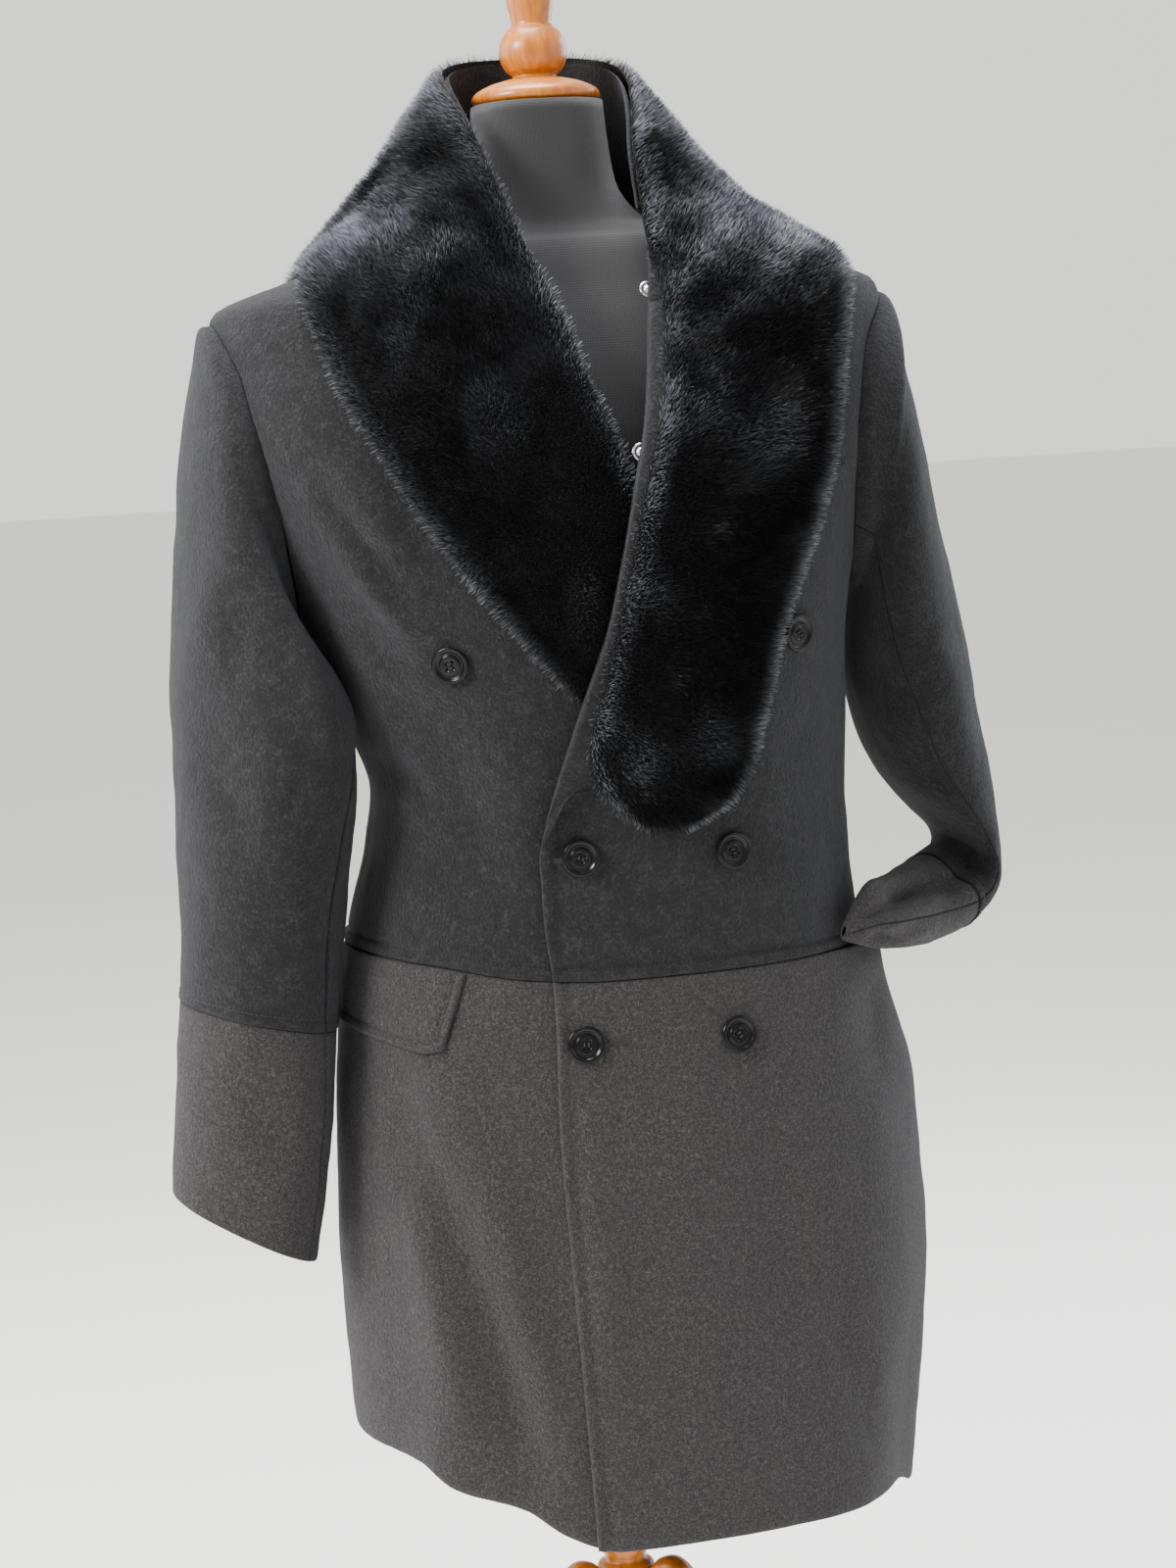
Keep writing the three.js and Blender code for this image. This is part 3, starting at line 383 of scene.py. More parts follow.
def blend(tree: bpy.types.NodeTree, share: float, a: bpy.types.NodeSocket,
          b: bpy.types.NodeSocket) -> bpy.types.NodeSocket:
    """Return the value a fixed share of the way from a to b."""
    return add_node(tree, "ShaderNodeMix", {"data_type": "FLOAT"}, {0: share, 2: a, 3: b}).outputs[0]


@dataclass(frozen=True)
class NappedWool:
    """Brushed coating wool: short fibres lie over the weave and scatter light at the edges."""

    name: str
    dark: str
    middle: str
    light: str
    sheen: float
    sheen_tint: str
    fleck_mm: float = 1.9
    mottle_mm: float = 8.0
    nap_mm: float = 2.6
    relief_mm: float = 2.8

    def build(self) -> bpy.types.Material:
        """Return the wool's material."""
        material, tree = start_material(self.name)
        place = object_place(tree)
        streak = add_node(tree, "ShaderNodeMapping", inputs={
            "Vector": place, "Scale": (1.0, 1.0, 0.85)}).outputs[0]
        fleck = noise(tree, streak, self.fleck_mm, 5.0, Roughness=0.7)
        mottle = noise(tree, place, self.mottle_mm, 3.0, Roughness=0.6)
        nap = noise(tree, streak, self.nap_mm, 4.0, Roughness=0.75)
        colour = ramp(tree, blend(tree, 0.3, fleck, mottle),
                      [(0.36, self.dark), (0.5, self.middle), (0.64, self.light)])
        end_material(tree, {
            "Base Color": colour, "Roughness": 0.92, "IOR": 1.5, "Specular IOR Level": 0.3,
            "Sheen Weight": self.sheen, "Sheen Roughness": 0.45, "Sheen Tint": linear(self.sheen_tint),
            "Normal": bumps(tree, 1.0, self.relief_mm, nap)})
        return material


@dataclass(frozen=True)
class Plush:
    """Dense cut pile: looks into dark between the hairs; besides a little sheen, its hairs carry a painted
    highlight near the collar's edges, along broad streaks and where they face up.
    """

    name: str = "plush_pile"
    root: str = "#020203"
    tip: str = "#060609"
    middle: str = "#0b0b0f"
    # painted highlight colour: hairs near the collar's edges, on streaks and facing up are mixed towards it
    pale: str = "#a2a6b2"
    tuft_mm: float = 3.0

    def backing(self) -> bpy.types.Material:
        """Return the material of the pile's dense body."""
        material, tree = start_material(self.name)
        tuft = noise(tree, object_place(tree), self.tuft_mm, 5.0, Roughness=0.7)
        end_material(tree, {
            "Base Color": ramp(tree, tuft, [(0.35, self.root), (0.7, self.tip)]),
            "Roughness": 0.8, "IOR": 1.45, "Specular IOR Level": 0.2,
            "Sheen Weight": 0.05, "Sheen Roughness": 0.3, "Sheen Tint": linear("#9aa0ac"),
            "Normal": bumps(tree, 0.8, 1.5, tuft)})
        return material

    def hair(self) -> bpy.types.Material:
        """Return the material of the single hairs, darker at their roots and mixed towards a painted
        highlight colour where the gleam mask marks them.
        """
        material, tree = start_material(self.name + "_hair")
        tone, height, gleam = (
            add_node(tree, "ShaderNodeAttribute", {"attribute_name": label}).outputs["Fac"]
            for label in ("tone", "height", "gleam"))
        # the second ramp is the painted highlight, mixed over the hairs' own tones by the gleam mask
        dull = ramp(tree, tone, [(0.0, self.tip), (1.0, self.middle)])
        painted_bright = ramp(tree, tone, [(0.0, self.middle), (1.0, self.pale)])
        own = add_node(tree, "ShaderNodeMix", {"data_type": "RGBA"}, {0: gleam, 6: dull, 7: painted_bright})
        colour = add_node(tree, "ShaderNodeMix", {"data_type": "RGBA"}, {
            0: height, 6: linear(self.root), 7: own.outputs[2]})
        end_material(tree, {
            "Base Color": colour.outputs[2], "Roughness": 0.45, "IOR": 1.55, "Specular IOR Level": 0.25,
            "Sheen Weight": 0.12, "Sheen Roughness": 0.3, "Sheen Tint": linear("#b4bac6")})
        return material


@dataclass(frozen=True)
class Lining:
    """Satin lining: long floats give it a soft gleam along the warp."""

    name: str = "satin_lining"
    dark: str = "#131316"
    light: str = "#17171a"
    thread_mm: float = 0.8

    def build(self) -> bpy.types.Material:
        """Return the lining's material."""
        material, tree = start_material(self.name)
        thread = wave(tree, object_place(tree), self.thread_mm, "DIAGONAL", Distortion=0.4)
        end_material(tree, {
            "Base Color": ramp(tree, thread, [(0.0, self.dark), (1.0, self.light)]),
            "Roughness": 0.38, "IOR": 1.5, "Anisotropic": 0.4, "Normal": bumps(tree, 0.2, 0.2, thread)})
        return material


@dataclass(frozen=True)
class MouldedButton:
    """Moulded polyester button: a hard gloss with faint swirls from the casting."""

    name: str = "button_polyester"
    dark: str = "#030304"
    light: str = "#0b0b0e"
    swirl_mm: float = 6.0
    scuff_mm: float = 0.8

    def build(self) -> bpy.types.Material:
        """Return the button's material."""
        material, tree = start_material(self.name)
        place = object_place(tree)
        swirl = noise(tree, place, self.swirl_mm, 3.0, Distortion=1.2)
        scuff = noise(tree, place, self.scuff_mm, 2.0)
        end_material(tree, {
            "Base Color": ramp(tree, swirl, [(0.3, self.dark), (0.7, self.light)]),
            "Roughness": 0.22, "IOR": 1.5, "Specular IOR Level": 0.2,
            "Normal": bumps(tree, 0.08, 0.1, scuff)})
        return material


@dataclass(frozen=True)
class Thread:
    """Spun sewing thread: two plies twisted, a little glossier than the wool."""

    name: str
    light: str
    dark: str = "#020202"
    ply_mm: float = 0.7

    def build(self) -> bpy.types.Material:
        """Return the thread's material."""
        material, tree = start_material(self.name)
        twist = wave(tree, object_place(tree), self.ply_mm, "DIAGONAL", Distortion=0.5)
        end_material(tree, {
            "Base Color": ramp(tree, twist, [(0.0, self.dark), (1.0, self.light)]),
            "Roughness": 0.6, "IOR": 1.5, "Normal": bumps(tree, 0.4, 0.1, twist)})
        return material


@dataclass(frozen=True)
class PlatedSnap:
    """Nickel-plated pressed brass: polished, with fine rub marks from use."""

    name: str = "snap_nickel"
    light: str = "#d4d5d8"
    dark: str = "#a9aaae"
    rub_mm: float = 1.5

    def build(self) -> bpy.types.Material:
        """Return the snap's material."""
        material, tree = start_material(self.name)
        rub = noise(tree, object_place(tree), self.rub_mm, 4.0)
        rough = add_node(tree, "ShaderNodeMapRange", inputs={
            "Value": rub, "To Min": 0.14, "To Max": 0.3})
        end_material(tree, {
            "Base Color": ramp(tree, rub, [(0.3, self.dark), (0.7, self.light)]),
            "Metallic": 1.0, "Roughness": rough.outputs[0]})
        return material


@dataclass(frozen=True)
class Jersey:
    """Knitted jersey pulled tight over the form: fine wales run up it, each of small loops."""

    name: str = "jersey_cover"
    dark: str = "#0e0e10"
    light: str = "#1d1d20"
    wale_mm: float = 2.4
    course_mm: float = 1.8

    def build(self) -> bpy.types.Material:
        """Return the jersey's material."""
        material, tree = start_material(self.name)
        place = add_node(tree, "ShaderNodeUVMap", {"uv_map": "knit"}).outputs["UV"]
        wale = wave(tree, place, self.wale_mm, "X", Distortion=0.25, Detail=1.0)
        course = wave(tree, place, self.course_mm, "Y", Distortion=0.4)
        loops = add_node(tree, "ShaderNodeMath", {"operation": "MULTIPLY_ADD"}, {
            0: course, 1: 0.35, 2: wale}).outputs[0]
        end_material(tree, {
            "Base Color": ramp(tree, loops, [(0.0, self.dark), (1.0, self.light)]),
            "Roughness": 0.9, "IOR": 1.5, "Sheen Weight": 0.2, "Sheen Roughness": 0.5,
            "Normal": bumps(tree, 0.6, 0.5, loops)})
        return material


@dataclass(frozen=True)
class LacqueredWood:
    """Turned beech under clear lacquer: straight honey-coloured grain with small dark flecks."""

    name: str = "lacquered_beech"
    dark: str = "#7c3c04"
    middle: str = "#a85c0a"
    light: str = "#c47a16"
    grain_mm: float = 5.0
    band_mm: float = 28.0

    def build(self) -> bpy.types.Material:
        """Return the wood's material."""
        material, tree = start_material(self.name)
        along = add_node(tree, "ShaderNodeMapping", inputs={
            "Vector": object_place(tree), "Scale": (1.0, 1.0, 0.08)}).outputs[0]
        grain = noise(tree, along, self.grain_mm, 5.0, Roughness=0.6, Distortion=0.4)
        band = noise(tree, along, self.band_mm, 2.0)
        end_material(tree, {
            "Base Color": ramp(tree, blend(tree, 0.4, grain, band),
                               [(0.3, self.dark), (0.5, self.middle), (0.7, self.light)]),
            "Roughness": 0.4, "IOR": 1.45, "Coat Weight": 0.2, "Coat Roughness": 0.1,
            "Normal": bumps(tree, 0.06, 0.3, grain)})
        return material


class Slot(Enum):
    """Material slot names; each piece passes one to hand_in, which does not use it."""

    BLACK_WOOL = "wool_black"
    GREY_WOOL = "wool_grey"
    PLUSH = "plush"
    BUTTON = "button_plastic"
    SNAP = "snap_metal"
    JERSEY = "jersey"
    WOOD = "lacquered_wood"


@dataclass
class Finishes:
    """All the materials, built once."""

    black: bpy.types.Material
    grey: bpy.types.Material
    lining: bpy.types.Material
    backing: bpy.types.Material
    hair: bpy.types.Material
    button: bpy.types.Material
    black_thread: bpy.types.Material
    grey_thread: bpy.types.Material
    snap: bpy.types.Material
    jersey: bpy.types.Material
    wood: bpy.types.Material


def build_finishes() -> Finishes:
    """Return every finish of the coat and its form."""
    plush = Plush()
    return Finishes(
        black=NappedWool("black_coating", "#060607", "#111112", "#2a2a2d", 0.2, "#9a9ca8").build(),
        grey=NappedWool("melange_coating", "#141314", "#282627", "#4a4748", 0.2, "#92909a",
                        fleck_mm=1.0, mottle_mm=2.6).build(),
        lining=Lining().build(),
        backing=plush.backing(),
        hair=plush.hair(),
        button=MouldedButton().build(),
        black_thread=Thread("black_thread", "#1c1c1e").build(),
        grey_thread=Thread("dark_grey_thread", "#151416").build(),
        snap=PlatedSnap().build(),
        jersey=Jersey().build(),
        wood=LacqueredWood().build(),
    )


def hand_in(piece: bpy.types.Object, slot: Slot, *nodes: str) -> bpy.types.Object:
    """Let a piece ride on the part's body, in place of the named nodes."""
    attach(piece, BODY_NAME)
    if nodes:
        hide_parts(*nodes)
    LOG.info("%s: %d faces", piece.name, len(piece.data.polygons))
    return piece


# Geometry Nodes: hairs and stitches

def new_geometry_tree(name: str, numbers: dict[str, float]) -> bpy.types.NodeTree:
    """Return an empty Geometry Nodes tree with named inputs.

    Args:
        name: the tree's name.
        numbers: each number input's name and usual value.
    """
    tree = bpy.data.node_groups.new(name, "GeometryNodeTree")
    sockets = tree.interface
    sockets.new_socket("Geometry", in_out="OUTPUT", socket_type="NodeSocketGeometry")
    sockets.new_socket("Geometry", in_out="INPUT", socket_type="NodeSocketGeometry")
    sockets.new_socket("Template", in_out="INPUT", socket_type="NodeSocketObject")
    sockets.new_socket("Finish", in_out="INPUT", socket_type="NodeSocketMaterial")
    for label, value in numbers.items():
        sockets.new_socket(label, in_out="INPUT", socket_type="NodeSocketFloat").default_value = value
    return tree


def pile_tree() -> bpy.types.NodeTree:
    """Return the tree that plants hairs on a surface, leaning along its nap."""
    tree = new_geometry_tree("pile", {
        "Per Square Metre": 1e6, "Length": 1.0, "Jitter": 0.3, "Seed": 1.0})
    given = add_node(tree, "NodeGroupInput").outputs
    spread = add_node(tree, "GeometryNodeDistributePointsOnFaces", inputs={
        "Mesh": given["Geometry"], "Density": given["Per Square Metre"], "Seed": given["Seed"]})
    nap = add_node(tree, "GeometryNodeInputNamedAttribute",
                   {"data_type": "FLOAT_VECTOR"}, {"Name": "nap"})
    stray = add_node(tree, "FunctionNodeRandomValue", {"data_type": "FLOAT_VECTOR"}, {
        "Min": (-1.0, -1.0, -1.0), "Max": (1.0, 1.0, 1.0), "Seed": 5})
    shake = add_node(tree, "ShaderNodeVectorMath", {"operation": "SCALE"}, {
        0: stray.outputs["Value"], "Scale": given["Jitter"]})
    lean = add_node(tree, "ShaderNodeVectorMath", {"operation": "ADD"}, {
        0: nap.outputs["Attribute"], 1: shake.outputs[0]})
    up = add_node(tree, "FunctionNodeAlignRotationToVector", {"axis": "Z"}, {"Vector": lean.outputs[0]})
    across = add_node(tree, "ShaderNodeVectorMath", {"operation": "CROSS_PRODUCT"}, {
        0: spread.outputs["Normal"], 1: lean.outputs[0]})
    wander = add_node(tree, "ShaderNodeVectorMath", {"operation": "ADD"}, {
        0: across.outputs[0], 1: shake.outputs[0]})
    turned = add_node(tree, "FunctionNodeAlignRotationToVector", {"axis": "X", "pivot_axis": "Z"}, {
        "Rotation": up.outputs[0], "Vector": wander.outputs[0]})
    tall = add_node(tree, "FunctionNodeRandomValue",
                    {"data_type": "FLOAT"}, {2: 0.7, 3: 1.15, "Seed": 9})
    size = add_node(tree, "ShaderNodeMath", {"operation": "MULTIPLY"}, {
        0: tall.outputs[1], 1: given["Length"]})
    shape = add_node(tree, "GeometryNodeObjectInfo", inputs={"Object": given["Template"]})
    planted = add_node(tree, "GeometryNodeInstanceOnPoints", inputs={
        "Points": spread.outputs["Points"], "Instance": shape.outputs["Geometry"],
        "Rotation": turned.outputs[0], "Scale": size.outputs[0]})
    tone = add_node(tree, "FunctionNodeRandomValue", {"data_type": "FLOAT"}, {"Seed": 13})
    toned = add_node(tree, "GeometryNodeStoreNamedAttribute", {
        "data_type": "FLOAT", "domain": "INSTANCE"}, {
        "Geometry": planted.outputs[0], "Name": "tone", "Value": tone.outputs[1]})
    finish_tree(tree, toned.outputs[0], given)
    return tree


def stitch_tree() -> bpy.types.NodeTree:
    """Return the tree that lays stitches along a line of points with an up direction each."""
    tree = new_geometry_tree("stitches", {"Pitch": 0.0032, "Across": 0.0})
    given = add_node(tree, "NodeGroupInput").outputs
    line = add_node(tree, "GeometryNodeMeshToCurve", inputs={"Mesh": given["Geometry"]})
    even = add_node(tree, "GeometryNodeResampleCurve", {"mode": "LENGTH"}, {
        "Curve": line.outputs[0], "Length": given["Pitch"]})
    ahead = add_node(tree, "GeometryNodeInputTangent")
    top = add_node(tree, "GeometryNodeInputNamedAttribute",
                   {"data_type": "FLOAT_VECTOR"}, {"Name": "up"})
    sideways = add_node(tree, "ShaderNodeVectorMath", {"operation": "CROSS_PRODUCT"}, {
        0: top.outputs["Attribute"], 1: ahead.outputs[0]})
    way = add_node(tree, "ShaderNodeMix", {"data_type": "VECTOR"}, {
        0: given["Across"], 4: ahead.outputs[0], 5: sideways.outputs[0]})
    flat = add_node(tree, "FunctionNodeAlignRotationToVector", {"axis": "Z"}, {
        "Vector": top.outputs["Attribute"]})
    turned = add_node(tree, "FunctionNodeAlignRotationToVector", {"axis": "X", "pivot_axis": "Z"}, {
        "Rotation": flat.outputs[0], "Vector": way.outputs[1]})
    shape = add_node(tree, "GeometryNodeObjectInfo", inputs={"Object": given["Template"]})
    laid = add_node(tree, "GeometryNodeInstanceOnPoints", inputs={
        "Points": even.outputs[0], "Instance": shape.outputs["Geometry"], "Rotation": turned.outputs[0]})
    finish_tree(tree, laid.outputs[0], given)
    return tree


def finish_tree(tree: bpy.types.NodeTree, made: bpy.types.NodeSocket, given: object) -> None:
    """End a tree with real meshes in the given finish."""
    real = add_node(tree, "GeometryNodeRealizeInstances", inputs={"Geometry": made})
    painted = add_node(tree, "GeometryNodeSetMaterial", inputs={
        "Geometry": real.outputs[0], "Material": given["Finish"]})
    add_node(tree, "NodeGroupOutput", inputs={0: painted.outputs[0]})


def grow(source: bpy.types.Object, name: str, tree: bpy.types.NodeTree,
         values: dict[str, object]) -> bpy.types.Object:
    """Return the plain mesh that a tree makes from an object, which is used up.

    Args:
        source: the object whose geometry the tree reads.
        name: the new piece's name.
        tree: the Geometry Nodes tree.
        values: the tree's inputs by name.
    """
    modifier = source.modifiers.new(name, "NODES")
    modifier.node_group = tree
    for item in tree.interface.items_tree:
        if item.item_type == "SOCKET" and item.in_out == "INPUT" and item.name in values:
            modifier[item.identifier] = values[item.name]
    ready = source.evaluated_get(bpy.context.evaluated_depsgraph_get())
    mesh = bpy.data.meshes.new_from_object(ready)
    mesh.name = name
    piece = put_in(name, mesh)
    source.modifiers.clear()
    drop(source)
    return piece


def drop(thing: bpy.types.Object) -> None:
    """Remove an object that was only needed while building."""
    bpy.data.objects.remove(thing, do_unlink=True)


def template(name: str, points: Sequence[Sequence[float]], faces: Sequence[Sequence[int]],
             height: Optional[Sequence[float]] = None) -> bpy.types.Object:
    """Return a small object in millimetres for a tree to repeat.

    Args:
        name: the object's name.
        points: its points in millimetres.
        faces: its faces.
        height: how far up each point is, from 0 to 1, stored for the finish.
    """
    mesh = bpy.data.meshes.new(name)
    mesh.from_pydata([[c * 0.001 for c in p] for p in points], [], faces)
    mesh.polygons.foreach_set("use_smooth", [True] * len(mesh.polygons))
    if height is not None:
        store = mesh.attributes.new("height", "FLOAT", "POINT")
        store.data.foreach_set("value", list(height))
    return put_in(name, mesh)


def hair_template(length: float = 7.2, width: float = 0.55, bend: float = 1.4) -> bpy.types.Object:
    """Return one hair: a thin bent blade that ends in a point."""
    points, height = [], []
    for share, wide in ((0.0, 1.0), (0.45, 0.85), (0.8, 0.5)):
        for side in (-0.5, 0.5):
            points.append((side * width * wide, bend * share * share, length * share))
            height.append(share)
    points.append((0.0, bend, length))
    height.append(1.0)
    return template("hair_shape", points, [(0, 1, 3, 2), (2, 3, 5, 4), (4, 5, 6)], height)


def stitch_template(length: float, width: float = 0.85, rise: float = 0.5) -> bpy.types.Object:
    """Return one stitch: a small pillow of thread that dips into the cloth at its ends."""
    points = []
    for share, fat in ((-0.5, 0.3), (-0.3, 1.0), (0.3, 1.0), (0.5, 0.3)):
        low = -0.35 if abs(share) == 0.5 else 0.0
        for k in range(6):
            turn = k * math.pi / 3
            points.append((share * length, 0.5 * width * fat * math.cos(turn),
                           low + rise * (0.4 + 0.6 * fat * math.sin(turn))))
    return template("stitch_shape", points, tube_faces(4, 6) + cap_faces(4, 6))


def seam_path(lines: Sequence[tuple[Array, Array]]) -> bpy.types.Object:
    """Return an object of open lines for stitches to follow.

    Args:
        lines: for each line its points in millimetres and its up directions.
    """
    points = np.concatenate([line for line, _ in lines])
    ups = np.concatenate([up for _, up in lines])
    edges, start = [], 0
    for line, _ in lines:
        edges += [(start + k, start + k + 1) for k in range(len(line) - 1)]
        start += len(line)
    mesh = bpy.data.meshes.new("seam_path")
    mesh.from_pydata(in_frame(points), edges, [])
    store = mesh.attributes.new("up", "FLOAT_VECTOR", "POINT")
    store.data.foreach_set("vector", ups.astype(np.float32).ravel())
    return put_in("seam_path", mesh)


# The coat's own shape

@dataclass(frozen=True)
class Fold:
    """Soft fold that runs down the cloth, by turn about the coat."""

    turn: float
    spread: float
    rise: float
    top: float
    low: float
    lean: float


CREASE_DEPTH = 1.4           # how much deeper every crease is than its table says


@dataclass(frozen=True)
class Crease:
    """Ridge or hollow between two points of one face, seen straight from the front."""

    x0: float
    z0: float
    x1: float
    z1: float
    width: float
    rise: float

    def at(self, points: Array) -> Array:
        """Return how far the crease lifts each point."""
        start = np.array([self.x0, self.z0])
        run = np.array([self.x1, self.z1]) - start
        length = np.linalg.norm(run)
        place = points[..., [0, 2]] - start
        share = np.clip(place @ run / length ** 2, -0.2, 1.2)
        off = np.linalg.norm(place - share[..., None] * run, axis=-1)
        ends = np.sin(np.clip(share, 0, 1) * math.pi) ** 0.7
        return CREASE_DEPTH * self.rise * ends * np.exp(-((off / self.width) ** 2))


WOOL_MM = 2.4                # wall of the coat's wool with its lining
SEAM_MM = 0.3                # gap between two pieces at a seam
NECKLINE_Z = 1455.0
UNDERARM_Z = 1185.0
SHOULDER_TIP_Z = 1401.0
ARMHOLE_Z = (UNDERARM_Z + SHOULDER_TIP_Z) / 2
ARMHOLE_HALF = (SHOULDER_TIP_Z - UNDERARM_Z) / 2
STITCH_INSET_MM = 8.5        # stitch line from the front edge
WAIST_STITCH_MM = 8.8        # stitch line above the waist seam
SLEEVE_STITCH_MM = 7.5       # stitch line above the seam to the cuff
STITCH_SINK_MM = 0.12        # how deep a stitch is drawn into the wool


class Side(Enum):
    """Side of the wearer."""

    LEFT = 1
    RIGHT = -1

    @property
    def word(self) -> str:
        """Return the side's name as the nodes write it."""
        return self.name.lower()


@dataclass
class CoatBody:
    """Shape of the cloth round the body, as in the part's source."""

    squareness: float = 2.3
    overlap_lift: float = 4.6
    tuck_lift: float = 11.0
    sections: tuple = (
        (440, 192, 216, 172, 168), (520, 194, 226, 172, 167), (600, 197, 237, 168, 166),
        (700, 199, 245, 162, 162), (800, 195, 239, 155, 157), (880, 189, 214, 147, 150),
        (920, 183, 205, 142, 145), (960, 175, 201, 138, 139), (1010, 160, 199, 137, 135),
        (1050, 154, 200, 140, 135), (1100, 167, 203, 145, 137), (1150, 185, 206, 150, 141),
        (1195, 203, 211, 153, 145), (1250, 225, 226, 151, 147), (1300, 240, 240, 143, 144),
        (1350, 249, 248, 128, 135), (1385, 250, 248, 113, 124), (1405, 246, 244, 103, 116),
        (1425, 196, 196, 94, 108), (1445, 140, 140, 86, 100), (1466, 80, 80, 76, 90),
    )
    folds: tuple = (
        Fold(-44, 7, 6, 930, 440, -4), Fold(-27, 8, -5, 900, 440, 3), Fold(-78, 9, 5, 900, 440, 2),
        Fold(34, 9, 5, 860, 440, 4), Fold(62, 9, -4, 880, 440, 0), Fold(150, 12, 7, 1000, 440, 0),
        Fold(-152, 12, 7, 1000, 440, 0), Fold(180, 9, -6, 960, 440, 0),
        Fold(-52, 7, 6, 1400, 1180, 22), Fold(-44, 8, -4, 1230, 1000, 10),
    )
    left_edge_rows: tuple = (
        (440, -48), (512, -49), (609, -51), (786, -55), (921, -51), (966, -54), (1008, -54),
        (1036, -48), (1077, -36), (1125, -20), (1173, -2), (1220, 11), (1267, 23), (1313, 36),
        (1381, 49), (1437, 57), (1466, 56),
    )
    right_edge_rows: tuple = (
        (440, 94), (1030, 94), (1077, 75), (1126, 62), (1166, 51), (1213, 38), (1270, 25),
        (1304, 13), (1343, 0), (1381, -12), (1420, -24), (1466, -38),
    )
    waist_rows: tuple = (
        (-180, 930), (-110, 940), (-75, 941), (-45, 936), (-15, 923), (0, 920), (60, 919),
        (110, 919), (180, 930),
    )
    hem_rows: tuple = (
        (-180, 535), (-110, 568), (-75, 578), (-54, 573), (-43, 557), (-27, 542), (-18, 523),
        (-8, 512), (30, 513), (60, 509), (82, 490), (110, 492), (180, 535),
    )
    mouth_turn: float = 84.0
    mouth_spread: float = 22.0
    mouth_rise: float = 12.0
    mouth_z: float = 912.0
    mouth_fade: float = 60.0
    mouth_dip: float = 2.0
    armhole_back: float = 80.0
    creases: tuple = (
        Crease(-205, 1330, -120, 1150, 20, 3.5), Crease(-190, 1260, -130, 1140, 16, -2.5),
        Crease(-175, 1180, -130, 1010, 18, 2.6), Crease(-150, 1120, -115, 980, 16, -2.6),
        Crease(-112, 1130, -90, 970, 20, -2.2), Crease(-75, 1110, -60, 960, 18, 1.8),
        Crease(190, 1180, 175, 1010, 18, -2.0), Crease(120, 1000, 175, 960, 16, 1.6),
        Crease(-120, 900, -110, 600, 24, 2.4), Crease(-60, 880, -72, 560, 22, -2.0),
        Crease(40, 860, 30, 560, 30, 2.0), Crease(150, 860, 140, 560, 30, -2.2),
        Crease(200, 880, 205, 600, 26, 2.6), Crease(176, 905, 150, 850, 14, 2.0),
        Crease(192, 900, 190, 800, 12, -2.4), Crease(-178, 1300, -128, 1228, 9, 4.4),
        Crease(-188, 1280, -132, 1196, 8, -4.2), Crease(-180, 1240, -128, 1170, 8, 3.8),
        Crease(-160, 1150, -112, 1138, 10, 2.4), Crease(-158, 1090, -112, 1040, 9, -2.8),
        Crease(-150, 1072, -96, 1010, 11, 2.2), Crease(165, 1100, 120, 1060, 12, -2.0),
        Crease(-165, 880, -128, 690, 14, -4.5), Crease(-35, 820, -30, 600, 16, 2.2),
        Crease(96, 850, 104, 610, 18, -2.6), Crease(-138, 800, -88, 560, 15, -5.0),
        Crease(-112, 820, -62, 550, 15, 4.2), Crease(-160, 780, -132, 600, 13, 3.8),
        Crease(140, 700, 165, 540, 16, -3.0),
    )
    back_creases: tuple = (
        Crease(-178, 1300, -120, 1180, 16, 3.2), Crease(182, 1290, 128, 1160, 18, 3.0),
        Crease(-150, 1190, -112, 1010, 20, -3.0), Crease(146, 1170, 110, 1000, 22, -2.6),
        Crease(-60, 1130, -44, 950, 26, 2.6), Crease(52, 1120, 66, 955, 24, 2.4),
        Crease(-130, 1010, -60, 962, 14, 2.6), Crease(140, 1000, 78, 958, 15, -2.4),
        Crease(-132, 880, -142, 580, 24, -3.6), Crease(-84, 860, -96, 560, 26, 3.4),
        Crease(-18, 890, -10, 560, 24, -2.6), Crease(44, 850, 58, 560, 28, 3.2),
        Crease(112, 870, 128, 570, 22, -3.4), Crease(168, 840, 184, 600, 20, 2.8),
    )

    def __post_init__(self) -> None:
        """Fit the curves through the tables."""
        self.widths = {Side.RIGHT: Rail(self.sections, 1), Side.LEFT: Rail(self.sections, 2)}
        self.front = Rail(self.sections, 3)
        self.back = Rail(self.sections, 4)
        self.edges = {Side.LEFT: Rail(self.left_edge_rows), Side.RIGHT: Rail(self.right_edge_rows)}
        self.waist = Rail(self.waist_rows)
        self.hem = Rail(self.hem_rows)
        self.armhole_front = {Side.LEFT: 84.0, Side.RIGHT: 70.0}

    def base(self, turn: Array, z: Array) -> Array:
        """Return points of the plain section at turns in degrees and heights."""
        s, c = np.sin(np.radians(turn)), np.cos(np.radians(turn))
        power = 2 / self.squareness
        width = np.where(s >= 0, self.widths[Side.LEFT](z), self.widths[Side.RIGHT](z))
        depth = np.where(c >= 0, -self.front(z), self.back(z))
        x = width * np.sign(s) * np.abs(s) ** power
        y = depth * np.abs(c) ** power
        return np.stack(np.broadcast_arrays(x, y, np.asarray(z, float)), axis=-1)

    def normal(self, turn: Array, z: Array) -> Array:
        """Return the plain section's outward directions."""
        around = self.base(turn + 1, z) - self.base(turn - 1, z)
        upward = self.base(turn, z + 2) - self.base(turn, z - 2)
        return unit(np.cross(around, upward))

    def fold_rise(self, turn: Array, z: Array) -> Array:
        """Return how far the folds push the cloth out."""
        total = np.zeros(np.broadcast(turn, z).shape)
        for fold in self.folds:
            share = np.clip((fold.top - z) / (fold.top - fold.low), 0, 1)
            centre = fold.turn + fold.lean * (share - 0.5)
            ends = smooth(z, fold.low - 60, fold.low + 40) * (1 - smooth(z, fold.top - 90, fold.top))
            total = total + fold.rise * ends * bell(wrap_turn(turn - centre), 0, fold.spread)
        return total

